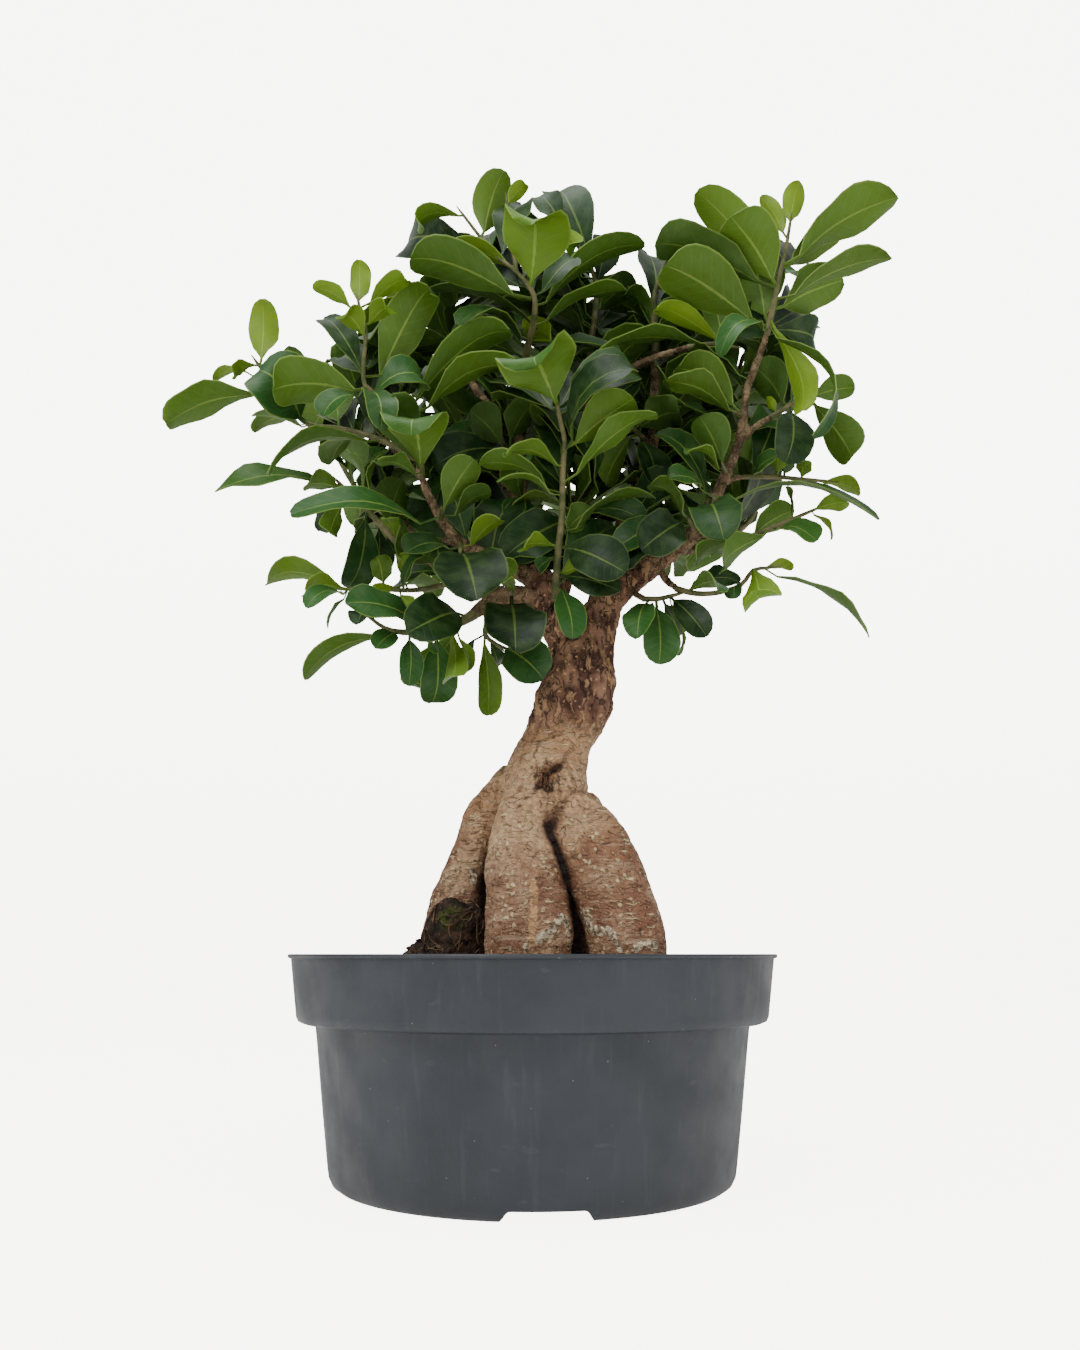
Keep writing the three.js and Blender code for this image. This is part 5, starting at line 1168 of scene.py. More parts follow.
def smooth_bark(tree, coords):
    """Tan skin of the roots, with pale warts and dashes, wrinkles and reddish stains."""
    clouds = mottling(tree, coords, 36.0, 0.36, 0.64)
    tone = mixed(tree, clouds, linear(162, 112, 78), linear(238, 196, 152))
    stains = mottling(tree, coords, 62.0, 0.5, 0.64)
    tone = tinted(tree, tone, stains, 0.55, linear(126, 78, 58))
    grain = mottling(tree, coords, 480.0, 0.44, 0.56)
    tone = tinted(tree, tone, grain, 0.4, linear(98, 68, 50))
    height = node(tree, "ShaderNodeSeparateXYZ", {"Vector": coords}).outputs[2]
    tone = mixed(tree, ranged(tree, height, 0.12, 0.16, 0.0, 0.3), tone, linear(244, 190, 132))
    tone = mixed(tree, ranged(tree, height, 0.128, 0.105, 0.0, 0.35), tone, linear(150, 98, 78))
    rings = stretched(tree, coords, (45, 45, 520))
    bands = mottling(tree, rings, 1.0, 0.56, 0.62)
    tone = tinted(tree, tone, bands, 0.35, linear(216, 190, 160))
    ragged = warped(tree, coords, 90.0, 0.012)
    upright = stretched(tree, ragged, (320, 320, 80))
    streaks = mottling(tree, upright, 1.0, 0.5, 0.6)
    streaked = times(tree, streaks, ranged(tree, height, 0.135, 0.158, 0.0, 0.6))
    tone = mixed(tree, streaked, tone, linear(112, 74, 50))
    wrinkled = stretched(tree, ragged, (70, 70, 420))
    wrinkles = cracks(tree, wrinkled, 1.0, 0.016)
    tone = tinted(tree, tone, wrinkles, 0.55, linear(66, 42, 31))
    uneven = warped(tree, coords, 420.0, 0.0022)
    warts = dots(tree, uneven, 330.0, 0.4, 0.42)
    crowded = mottling(tree, coords, 55.0, 0.4, 0.56)
    specks = dots(tree, uneven, 820.0, 0.32, 0.6)
    squat = stretched(tree, uneven, (0.3, 0.3, 2.0))
    dashes = dots(tree, squat, 400.0, 0.4, 0.7)
    pale = times(tree, warts, crowded)
    pale = math_of(tree, "MAXIMUM", pale, times(tree, specks, 0.8))
    pale = math_of(tree, "MAXIMUM", pale, times(tree, dashes, 0.95))
    tone = mixed(tree, pale, tone, linear(255, 228, 176))
    lines = times(tree, wrinkles, -0.8)
    return tone, plus(tree, times(tree, pale, 0.7), lines)


def rough_bark(tree, coords):
    """Dark reddish bark of the old trunk, cracked, with tan flakes."""
    clouds = mottling(tree, coords, 75.0, 0.4, 0.6)
    tone = mixed(tree, clouds, linear(98, 64, 50), linear(178, 134, 106))
    ragged = warped(tree, coords, 130.0, 0.008)
    upright = stretched(tree, ragged, (300, 300, 95))
    flakes = mottling(tree, upright, 1.0, 0.54, 0.58)
    tone = tinted(tree, tone, flakes, 0.7, linear(214, 168, 124))
    split = stretched(tree, ragged, (190, 190, 55))
    splits = cracks(tree, split, 1.0, 0.03)
    tone = tinted(tree, tone, splits, 0.8, linear(36, 24, 19))
    warts = dots(tree, ragged, 460.0, 0.36, 0.66)
    tone = tinted(tree, tone, warts, 0.75, linear(250, 198, 142))
    return tone, math_of(tree, "SUBTRACT", flakes, splits)


def shaded_and_marked(tree, colour, coords):
    """Painted shade in recesses and on the roots' inner sides, torn fibres round the hole, chalky crusts and
    the bare scar.
    """
    # Painted shade: darker where the relief value is low, in the hole, knot, grooves, seam, torn bark and the
    # troughs of wrinkles and furrows.
    recess_shade = ranged(tree, attribute(tree, "relief"), 0.5, 0.08)
    colour = tinted(tree, colour, recess_shade, 0.85, linear(34, 23, 18))
    # Painted shade on the roots' inner sides: reddish brown, then near black where they almost touch.
    nook = attribute(tree, "nook")
    colour = mixed(tree, ranged(tree, nook, 0.05, 0.6, 0.0, 0.6), colour, linear(98, 56, 42))
    colour = mixed(tree, ranged(tree, nook, 0.45, 1.0, 0.0, 0.92), colour, linear(20, 12, 9))
    ragged = times(tree, math_of(tree, "SUBTRACT", noise_of(tree, coords, 520.0, 5.0), 0.5), 1.6)

    def ragged_mark(name, low, high):
        return ranged(tree, plus(tree, attribute(tree, name), ragged), low, high)

    fibrous = stretched(tree, warped(tree, coords, 110.0, 0.006), (760, 760, 130))
    strands = mottling(tree, fibrous, 1.0, 0.46, 0.54)
    fibres = mixed(tree, strands, linear(28, 17, 12), linear(176, 130, 92))
    colour = tinted(tree, colour, ragged_mark("torn", 0.5, 0.75), 0.85, fibres)
    gritty = mottling(tree, coords, 620.0, 0.42, 0.56)
    pale = mixed(tree, gritty, linear(156, 132, 104), linear(252, 232, 198))
    colour = mixed(tree, ragged_mark("crust", 0.42, 0.6), colour, pale)
    return tinted(tree, colour, ragged_mark("scar", 0.4, 0.7), 0.85, linear(236, 184, 130))


def twig_bark(tree, coords):
    """Grey-tan skin of the thin branches, with close rings."""
    clouds = mottling(tree, coords, 150.0, 0.38, 0.62)
    tone = mixed(tree, clouds, linear(104, 88, 60), linear(170, 148, 112))
    rings = stretched(tree, coords, (120, 120, 620))
    lines = cracks(tree, rings, 1.0, 0.03)
    return tinted(tree, tone, lines, 0.55, linear(58, 44, 32))


def bark_material():
    """Smooth speckled bark on the roots, rough furrowed bark on the trunk, grey-tan twigs."""
    material, tree, shader = new_material("bark")
    coords = object_coords(tree)
    upper = attribute(tree, "upper")
    low_tone, low_height = smooth_bark(tree, coords)
    high_tone, high_height = rough_bark(tree, coords)
    thin = ranged(tree, attribute(tree, "stout"), 0.4, 0.0, 0.0, 0.75)
    colour = mixed(tree, upper, low_tone, high_tone)
    colour = mixed(tree, thin, colour, twig_bark(tree, coords))
    colour = shaded_and_marked(tree, colour, coords)
    fine = noise_of(tree, stretched(tree, coords, (1, 1, 1.6)), 420.0, 8.0)
    detail = mixed(tree, upper, low_height, high_height)
    height = plus(tree, fine, times(tree, detail, 0.8))
    roughness = ranged(tree, upper, 0.0, 1.0, 0.66, 0.88)
    wire(tree, shader, colour, roughness, height, 0.9, 0.0013)
    return material


def leaf_material(settings):
    """Glossy blade with a pale midrib, faint side veins and a thin pale rim that is partly a painted
    highlight, painted shade towards its foot, and an age value that also paints shade.
    """
    material, tree, shader = new_material("leaf")
    # The age value is leaf age and painted shade: low values give the dark colour of old leaves and of leaves
    # in shade.
    age = attribute(tree, "age")
    under = attribute(tree, "under")
    coords = object_coords(tree)
    uv = node(tree, "ShaderNodeUVMap", uv_map="blade").outputs[0]
    place = node(tree, "ShaderNodeSeparateXYZ", {"Vector": uv}).outputs
    along = place[1]
    side = math_of(tree, "ABSOLUTE", math_of(tree, "SUBTRACT", times(tree, place[0], 2.0), 1.0))
    dark = (*settings.dark_leaf, 1.0)
    mature = mixed(tree, ranged(tree, age, 0.0, 0.3), dark, (*settings.leaf, 1.0))
    fresh = mixed(tree, ranged(tree, age, 0.35, 1.0), mature, (*settings.young_leaf, 1.0))
    shade = ranged(tree, attribute(tree, "tint"), 0.0, 1.0, 0.72, 1.22)
    grey = node(tree, "ShaderNodeCombineColor", {0: shade, 1: shade, 2: shade}).outputs[0]
    varied = mixed(tree, 1.0, fresh, grey, "MULTIPLY")
    below = mixed(tree, 0.55, varied, mixed(tree, age, linear(84, 122, 40), linear(150, 182, 40)))
    colour = mixed(tree, under, varied, below)
    # Painted shade: the blade darkens towards its foot.
    colour = mixed(tree, ranged(tree, along, 0.0, 0.6, 0.3, 0.0), colour, dark)
    clouds = mottling(tree, coords, 160.0, 0.35, 0.7)
    colour = tinted(tree, colour, clouds, 0.16, linear(116, 148, 84))
    slant = math_of(tree, "SUBTRACT", times(tree, along, 11.0), times(tree, side, 1.7))
    veins = ranged(tree, math_of(tree, "PINGPONG", slant, 0.5), 0.07, 0.0)
    veins = times(tree, veins, ranged(tree, side, 0.95, 0.6))
    veins = times(tree, veins, ranged(tree, along, 0.0, 0.15))
    rib_width = ranged(tree, along, 0.0, 1.0, 0.11, 0.025)
    rib = ranged(tree, math_of(tree, "DIVIDE", side, rib_width), 1.0, 0.4)
    # A thin pale margin, partly a painted highlight along the edge.
    rim = ranged(tree, side, 0.93, 0.99)
    pale = mixed(tree, 0.6, colour, linear(178, 206, 96))
    colour = tinted(tree, colour, veins, ranged(tree, age, 0.0, 0.4, 0.05, 0.2), pale)
    colour = tinted(tree, colour, rib, ranged(tree, age, 0.0, 0.3, 0.38, 0.85), pale)
    colour = tinted(tree, colour, rim, ranged(tree, age, 0.0, 0.3, 0.25, 0.75), pale)
    roughness = ranged(tree, under, 0.0, 1.0, 0.4, 0.55)
    height = plus(tree, times(tree, veins, -0.35), times(tree, rib, -0.8))
    wire(tree, shader, colour, roughness, height, 0.35, 0.0004)
    shader.inputs["Specular IOR Level"].default_value = 0.26
    return material


def stem_material():
    """Green-brown skin of young stems."""
    material, tree, shader = new_material("young stem")
    coords = object_coords(tree)
    clouds = mottling(tree, coords, 190.0, 0.35, 0.65)
    colour = mixed(tree, clouds, linear(80, 90, 42), linear(130, 122, 80))
    spots = dots(tree, coords, 900.0, 0.3, 0.7)
    colour = tinted(tree, colour, spots, 0.5, linear(180, 160, 120))
    wire(tree, shader, colour, 0.6, noise_of(tree, coords, 900.0), 0.3, 0.0004)
    return material


# Settings
class PotSettings(bpy.types.PropertyGroup):
    """Sizes and colour of the pot."""

    rim_radius: FloatProperty(
        name="Rim radius", description="Outer radius of the rim", default=0.1, unit="LENGTH"
    )
    height: FloatProperty(
        name="Height", description="From the base to the rim", default=0.088, unit="LENGTH"
    )
    colour: FloatVectorProperty(
        name="Colour", description="Grey of the plastic", default=linear(52, 57, 63)[:3], subtype="COLOR"
    )


class PlantSettings(bpy.types.PropertyGroup):
    """Grain of the wood, and the leaves' thickness and colours."""

    grain: FloatProperty(name="Grain", description="Size of the wood's mesh", default=0.0011, unit="LENGTH")
    blade: FloatProperty(name="Blade", description="Thickness of a leaf", default=0.00045, unit="LENGTH")
    # Dark leaf: the colour of old leaves and the painted shade of leaves inside the crown.
    dark_leaf: FloatVectorProperty(
        name="Dark leaf", description="Oldest leaves", default=linear(15, 40, 16)[:3], subtype="COLOR"
    )
    leaf: FloatVectorProperty(
        name="Leaf", description="Grown leaves", default=linear(49, 97, 38)[:3], subtype="COLOR"
    )
    young_leaf: FloatVectorProperty(
        name="Young leaf", description="Leaves at the tips", default=linear(126, 168, 14)[:3], subtype="COLOR"
    )


class StageSettings(bpy.types.PropertyGroup):
    """Light and backdrop."""

    ambient: FloatProperty(name="Ambient", description="Strength of the light from all round", default=0.38)
    key: FloatProperty(name="Key", description="Main light", default=12.0, unit="POWER")
    fill: FloatProperty(name="Fill", description="Light from the other side", default=4.5, unit="POWER")
    top: FloatProperty(name="Top", description="Light from above", default=13.0, unit="POWER")
    backdrop_glow: FloatProperty(
        name="Backdrop glow", description="How bright the backdrop shows", default=7.5
    )
    backdrop_shine: FloatProperty(
        name="Backdrop shine", description="How bright glossy things mirror it", default=0.7
    )
    backdrop: FloatVectorProperty(
        name="Backdrop", description="Colour of the floor and wall", default=linear(243, 241, 239)[:3],
        subtype="COLOR"
    )


# Pot
# Shares of the rim's radius and of the height, up the outside, over the rim and down to the inner floor
POT_PROFILE = [
    (0.748, 0), (0.77, 0.0057), (0.792, 0.0227), (0.804, 0.05), (0.81, 0.0886), (0.8385, 0.33),
    (0.869, 0.606), (0.8785, 0.684), (0.8835, 0.7022), (0.932, 0.7), (0.948, 0.708), (0.9562, 0.727),
    (0.958, 0.744), (0.972, 0.86), (0.9862, 0.979), (0.9975, 0.9835), (1, 0.9915), (0.9965, 0.9995),
    (0.9905, 1), (0.981, 1), (0.972, 0.988), (0.96, 0.905), (0.94, 0.745), (0.932, 0.725), (0.87, 0.7205),
    (0.862, 0.66), (0.795, 0.095), (0.77, 0.0716)
]
POT_SEGMENTS = 160
POT_CREASE = math.radians(35)
CHANNEL_START = 0.026
CHANNEL_HEIGHT = 0.0043
CHANNEL_WIDTH = 0.035
CHANNEL_TOP_WIDTH = 0.027
CHANNEL_ROUNDING = 0.0012
CHANNEL_TURN = 4
CUTTER_SUNK = 0.001
DRAIN_RADIUS = 0.005
DRAIN_SIDES = 32
DRAIN_REACHES = (0.042, 0.062)
DRAIN_DEPTH = 0.012


def turned_pot(rim, height):
    """The wall and floor, one ring raised and widened from the next."""
    profile = [(rim * wide, height * high) for wide, high in POT_PROFILE]
    start_clean()
    bpy.ops.mesh.primitive_circle_add(vertices=POT_SEGMENTS, radius=profile[0][0], fill_type="NGON")
    pot = named("nursery_pot")
    edit_all()
    for (radius, level), (next_radius, next_level) in zip(profile, profile[1:]):
        next_ring(next_level - level, next_radius / radius, next_level)
    leave_edit()
    return pot


def cut_away(piece, cutter):
    """Takes the cutter's shape out of the piece."""
    modifier = piece.modifiers.new("cut", "BOOLEAN")
    modifier.operation = "DIFFERENCE"
    modifier.solver = "EXACT"
    modifier.object = cutter
    apply_modifiers(piece)
    bpy.data.objects.remove(cutter)


def turned_place(reach, turn):
    angle = math.radians(turn)
    return (reach * math.sin(angle), -reach * math.cos(angle))


def cut_channel(pot, rim, turn):
    """One foot channel, wider at the bottom, with its two drain holes."""
    start_clean()
    long = rim - CHANNEL_START
    place = (*turned_place(CHANNEL_START + long / 2, turn), CHANNEL_HEIGHT / 2 - CUTTER_SUNK)
    bpy.ops.mesh.primitive_cube_add(size=1, location=place, rotation=(0, 0, math.radians(turn)))
    cutter = named("channel")
    cutter.scale = (CHANNEL_WIDTH, long, CHANNEL_HEIGHT + 2 * CUTTER_SUNK)
    points = coordinates(cutter.data)
    points[points[:, 2] > 0, 0] *= CHANNEL_TOP_WIDTH / CHANNEL_WIDTH
    set_coordinates(cutter.data, points)
    bevel = cutter.modifiers.new("round", "BEVEL")
    bevel.width = CHANNEL_ROUNDING
    bevel.segments = 3
    settle(cutter)
    apply_modifiers(cutter)
    cut_away(pot, cutter)
    for reach in DRAIN_REACHES:
        start_clean()
        bpy.ops.mesh.primitive_cylinder_add(
            vertices=DRAIN_SIDES, radius=DRAIN_RADIUS, depth=DRAIN_DEPTH,
            location=(*turned_place(reach, turn), DRAIN_DEPTH / 2)
        )
        cut_away(pot, named("drain"))


class BONSAI_OT_pot(bpy.types.Operator):
    """Round nursery pot with a stepped collar and foot channels"""

    bl_idname = "bonsai.pot"
    bl_label = "Nursery Pot"

    def execute(self, context):
        settings = context.scene.bonsai_pot
        pot = turned_pot(settings.rim_radius, settings.height)
        for i in range(4):
            cut_channel(pot, settings.rim_radius, CHANNEL_TURN + 90 * i)
        select_only(pot)
        bpy.ops.object.shade_smooth_by_angle(angle=POT_CREASE)
        pot.data.materials.append(pot_material(settings))
        finish_piece(pot, "pot", "pot")
        return {"FINISHED"}


# Soil
SOIL_LEVEL = 76
SOIL_SEGMENTS = 220
SOIL_RINGS = 80
SOIL_OUTER = 95.0
SOIL_TAPER = 1.8
SOIL_LOW = 66.5
SOIL_CREASE = math.radians(50)
CRUMB_GRAINS = [(5.5, 0.0, 0.9), (2.4, 7.3, 0.8), (1.2, 3.1, 0.45)]
CLOD_PLACE = np.array([-32.5, 7, 93])
CLOD_SIZE = np.array([13.5, 13, 18])
CLOD_GRAINS = [(0.6, 3.0, 0.1), (0.26, 8.0, 0.09), (0.11, 1.0, 0.045), (0.05, 5.0, 0.03)]
CRUMBS = 620
CRUMB_REACH = 92
HEAP = (-44, 6)
HEAP_WIDTH = 22
FIBRES = 70
FIBRE_POINTS = 7


def soil_height(x, y):
    """Height of the soil's top, in millimetres, without its crumbs."""
    near = np.exp(-((x - 3) ** 2 + (y - 10) ** 2) / 2600)
    mound = np.exp(-((x + 46) ** 2 + (y - 10) ** 2) / 170)
    lumps = 0.7 * np.sin(x * 0.21 + 1) * np.cos(y * 0.17) + 0.5 * np.sin(x * 0.09 - y * 0.13)
    return SOIL_LEVEL + 4 * near + 16 * mound + lumps


def soil_disc():
    """A plug that fills the collar, ringed finely across its top."""
    start_clean()
    foot = SOIL_OUTER - SOIL_TAPER
    bpy.ops.mesh.primitive_circle_add(
        vertices=SOIL_SEGMENTS, radius=foot * MM, fill_type="NGON", location=(0, 0, SOIL_LOW * MM)
    )
    soil = named("potting_mix")
    settle(soil)
    edit_all()
    next_ring((SOIL_LEVEL - SOIL_LOW) * MM, SOIL_OUTER / foot, SOIL_LEVEL * MM)
    for ring in range(SOIL_RINGS):
        next_ring(0, (SOIL_RINGS - ring) / (SOIL_RINGS + 1 - ring), SOIL_LEVEL * MM)
    leave_edit()
    return soil


def crumble(soil):
    """Raises the top to its height and breaks it into crumbs."""
    points = coordinates(soil.data) / MM
    top = points[:, 2] > SOIL_LEVEL - 1
    x, y = points[:, 0], points[:, 1]
    flat = np.column_stack([x, y, np.zeros(len(x))])
    crumbs = sum(high * noise_over(flat, size, seed) for size, seed, high in CRUMB_GRAINS)
    settled = eased(95.5, 91, np.hypot(x, y)) * 0.7 + 0.3
    points[:, 2] = np.where(top, soil_height(x, y) + crumbs * 1.5 * settled, points[:, 2])
    set_coordinates(soil.data, points * MM)
    set_values(soil.data, moss=np.zeros(len(points)))


def root_clod():
    """The clump of soil and fine roots that clings to the left root."""
    start_clean()
    bpy.ops.mesh.primitive_ico_sphere_add(subdivisions=6, radius=1)
    clod = named("root_clod")
    ball = coordinates(clod.data)
    lump = 1 + sum(high * noise_over(ball, size, seed) for size, seed, high in CLOD_GRAINS)
    points = ball * lump[:, None] * CLOD_SIZE * 1.02 + CLOD_PLACE
    set_coordinates(clod.data, points * MM)
    patch = np.exp(-((ball[:, 0] + 0.1) / 0.45) ** 2 - ((ball[:, 2] - 0.55) / 0.28) ** 2)
    set_values(clod.data, moss=patch * eased(0.15, -0.5, ball[:, 1]))
    return clod


def scattered_crumbs(numbers):
    """Loose crumbs on the soil and round the clod, each a squashed stone of twenty faces."""
    start_clean()
    bpy.ops.mesh.primitive_ico_sphere_add(subdivisions=1, radius=1)
    pattern = named("crumb")
    ball = coordinates(pattern.data)
    crumbs = []
    for i in range(CRUMBS):
        angle = 2 * math.pi * next(numbers)
        radius = CRUMB_REACH * math.sqrt(next(numbers))
        x, y = radius * math.cos(angle), radius * math.sin(angle)
        if i % 5 == 0:
            x, y = [middle + HEAP_WIDTH * (next(numbers) - 0.5) for middle in HEAP]
        size = 0.5 + 1.3 * next(numbers) ** 2
        squash = np.array([1 + 0.5 * next(numbers), 1, 0.6 + 0.3 * next(numbers)])
        place = np.array([x, y, float(soil_height(x, y)) + 0.3 * size])
        turn = 2 * math.pi * next(numbers)
        stone = ball * squash * size
        cos, sin = math.cos(turn), math.sin(turn)
        stone[:, :2] = stone[:, :2] @ np.array([[cos, sin], [-sin, cos]])
        crumb = copy_of(pattern)
        set_coordinates(crumb.data, (stone + place) * MM)
        crumbs.append(crumb)
    bpy.data.objects.remove(pattern)
    return crumbs


def fine_roots(numbers):
    """Hair roots that creep over the clod and out of the soil beside it."""
    rows = []
    for _ in range(FIBRES):
        angle = 2 * math.pi * next(numbers)
        tilt = 1.2 * next(numbers) - 0.35
        heading = 2 * math.pi * next(numbers)
        path = []
        for _ in range(FIBRE_POINTS):
            flat = math.cos(tilt)
            ray = np.array([math.cos(angle) * flat, math.sin(angle) * flat, math.sin(tilt)])
            path.append(CLOD_PLACE + ray * CLOD_SIZE * (1.04 + 0.05 * next(numbers)))
            heading += 1.4 * (next(numbers) - 0.5)
            angle += 0.16 * math.cos(heading)
            tilt += 0.13 * math.sin(heading)
        rows.append((np.array(path), np.full(FIBRE_POINTS, 0.16 + 0.2 * next(numbers))))
    return tubes("fine_roots", rows, 0)


class BONSAI_OT_soil(bpy.types.Operator):
    """Potting mix with its crumbs, root clod and moss"""

    bl_idname = "bonsai.soil"
    bl_label = "Potting Mix"

    def execute(self, context):
        numbers = random_source(SEED + 3)
        soil = soil_disc()
        crumble(soil)
        material = soil_material()
        pieces = [root_clod()] + scattered_crumbs(numbers)
        for piece in [soil] + pieces:
            piece.data.materials.append(material)
        fibres = fine_roots(numbers)
        fibres.data.materials.append(fibre_material())
        select_only(soil, fibres, *pieces)
        bpy.ops.object.join()
        bpy.ops.object.shade_smooth_by_angle(angle=SOIL_CREASE)
        finish_piece(soil, "soil", "soil")
        return {"FINISHED"}


# Wood
def smooth_row(points, radii, step=3.0):
    """Points and radii on a smooth curve through the row's own."""
    ends = [points[0] * 2 - points[1]] + list(points) + [points[-1] * 2 - points[-2]]
    sizes = [radii[0]] + list(radii) + [radii[-1]]
    path = []
    girths = []
    for i in range(1, len(points)):
        p0, p1, p2, p3 = ends[i - 1:i + 3]
        r0, r1, r2, r3 = sizes[i - 1:i + 3]
        count = max(2, math.ceil(length_of(p2 - p1) / step))
        for j in range(count):
            t = j / count
            weights = (
                -0.5 * t + t * t - 0.5 * t ** 3,
                1 - 2.5 * t * t + 1.5 * t ** 3,
                0.5 * t + 2 * t * t - 1.5 * t ** 3,
                -0.5 * t * t + 0.5 * t ** 3,
            )
            path.append(sum(w * p for w, p in zip(weights, (p0, p1, p2, p3))))
            girths.append(max(0.2, sum(w * r for w, r in zip(weights, (r0, r1, r2, r3)))))
    path.append(points[-1])
    girths.append(radii[-1])
    return np.array(path), np.array(girths)


def tubes(name, rows, resolution):
    """Round closed limbs, each along its own smooth row of points and radii."""
    curve = bpy.data.curves.new(name, "CURVE")
    curve.dimensions = "3D"
    curve.bevel_depth = MM
    curve.bevel_resolution = resolution
    curve.use_fill_caps = True
    for path, girths in rows:
        spline = curve.splines.new("POLY")
        spline.points.add(len(path) - 1)
        spline.points.foreach_set("co", np.column_stack([path * MM, np.ones(len(path))]).ravel())
        spline.points.foreach_set("radius", girths)
    made = bpy.data.objects.new(name, curve)
    bpy.context.collection.objects.link(made)
    select_only(made)
    bpy.ops.object.convert(target="MESH")
    return bpy.context.object


def eased_mesh(mesh, weights, rounds):
    """Draws each vertex towards the middle of its neighbours, by its weight."""
    edges = np.empty(len(mesh.edges) * 2, dtype=np.int64)
    mesh.edges.foreach_get("vertices", edges)
    a, b = edges[0::2], edges[1::2]
    points = coordinates(mesh)
    degree = np.bincount(edges, minlength=len(points))[:, None]
    for _ in range(rounds):
        total = np.zeros_like(points)
        for ends, others in ((a, b), (b, a)):
            for axis in range(3):
                total[:, axis] += np.bincount(ends, points[others, axis], len(points))
        points += (total / degree - points) * weights[:, None]
    set_coordinates(mesh, points)


def line_mask(shown, line, width):
    """How near each shown point lies to a given line."""
    line = np.array(line, dtype=float)
    away = to_segments(shown, line[:-1], line[1:])[1].min(axis=1)
    return np.exp(-(away / width) ** 2)


# Middle of the roots, as x and depth
ROOT_AXIS = np.array([5.0, 8.0])

# Marks on the wood, as x and z that show in the plane through the trunk
MARKED_DEPTH = 26
MARKED_FADE = 6
HOLE = [[(5.0, 165.5), (5.4, 161), (6.6, 157)], [(5.6, 163), (8.6, 166), (12, 167.4)], [(5, 160), (2, 158.6)]]
HOLE_WIDTH = 1.35
TORN_MIDDLE = (7, 162)
TORN_SIZE = (10, 8)
KNOT = [[(4.5, 233.5), (8, 238)]]
KNOT_WIDTH = 2.6
GROOVES = [[(6.6, 153), (6, 146), (5.5, 141)], [(-6, 137.5), (-0.3, 136.7), (4.6, 136.2)],
           [(13.2, 217), (12.4, 209), (13.4, 201), (15.6, 193), (19.8, 184)],
           [(22.6, 222), (23.2, 213), (21.5, 205)]]
GROOVE_WIDTH = 0.8
SCAR = [[(0.2, 116.5), (0.6, 108.5), (0.1, 100.6), (-0.4, 93)]]
CRUSTS = [[(-3.4, 89.9), (-1, 92.7), (4.6, 95.1), (9.4, 99), (11.9, 103), (14.6, 101.4), (15.1, 94.3)],
          [(22.4, 105.3), (24, 100.6), (26.3, 97.4), (31.2, 97.7), (34.3, 94.3), (36.2, 89.9)],
          [(43.1, 90.4), (47.1, 91.9), (51.1, 91.5)], [(-26, 122), (-25, 117)]]
CRUST_WIDTH = 1.9
SCAR_WIDTH = 2.0
KNOBS = [(-36, 121.3, 3.4, 1.6), (31.5, 205, 5, 1.1), (33.5, 193, 4.5, 1.0), (4, 200, 6, 0.8),
         (-30, 137, 5, 0.8), (36, 138, 7, 0.7), (27, 224, 5, 0.8)]


def limb_gaps(points, groups):
    """How far outside each group of limbs the points lie, and the girth of the limb nearest to each."""
    girth = np.zeros(len(points))
    nearest = np.full(len(points), 1e9)
    gaps = []
    for rows in groups:
        best = np.full(len(points), 1e9)
        for row in rows:
            centres, radii, _ = stations(row)
            for a, b, ra, rb in zip(centres, centres[1:], radii, radii[1:]):
                run = b - a
                share = np.clip(((points - a) @ run) / (run @ run), 0, 1)
                radius = ra + (rb - ra) * share
                gap = np.linalg.norm(points - (a + share[:, None] * run), axis=1) - radius
                closer = gap < nearest
                nearest[closer] = gap[closer]
                girth[closer] = radius[closer]
                best = np.minimum(best, gap)
        gaps.append(best)
    return np.array(gaps), girth


def ease_limbs(mesh):
    """Eases the limbs into each other. Gives how stout each is, their seams and the gap to the next limb."""
    points = coordinates(mesh) / MM
    trunk, right, centre, *others = ROOTS_AND_TRUNK
    branches = BRANCHES + [shoot.wood_rows for shoot in all_shoots()]
    groups = [[trunk, centre], [right]] + [[row] for row in others] + [branches]
    gaps, girth = limb_gaps(points, groups)
    stout = eased(3, 9, girth)
    ranked = np.sort(gaps[:-1], axis=0)
    seam = np.exp(-((ranked[1] - ranked[0]) / 1.7) ** 2) * (ranked[0] < 3)
    seam = seam * stout * eased(166, 152, points[:, 2])
    eased_mesh(mesh, (0.15 + 0.5 * stout) * (1 - 0.6 * seam), 6)
    return stout, seam, ranked[1]


def skin_relief(points, stout):
    """Lumps all over, wrinkles and pits on the roots, and furrows and plates on the trunk."""
    def grain(sizes, seed=0.0):
        return noise_over(points, sizes, seed)

    upper = eased(178, 190, points[:, 2] + 6 * grain(9, 4.0))
    lumps = 1.3 * grain((17, 17, 24)) + 0.7 * grain((7, 7, 10), 2.0)
    furrow = 1 - 2.4 * np.abs(grain((3.6, 3.6, 15), 5.0) + 0.6 * grain((2.0, 2.0, 6), 9.0))
    plates = grain((5, 5, 7), 12.0)
    wrinkle = grain((11, 11, 1.9), 1.0) * np.clip(grain((14, 14, 10), 6.0) + 0.6, 0, 1)
    smooth_skin = (0.42 * wrinkle + 0.3 * grain(2.6, 21.0)) * (1 - upper) * stout
    rough_skin = (furrow * 0.95 + plates * 0.8) * upper * (0.3 + 0.7 * stout)
    carved = lumps * stout * (1 + 0.6 * upper) + rough_skin + smooth_skin
    return upper, carved, np.where(upper > 0.5, rough_skin, wrinkle)


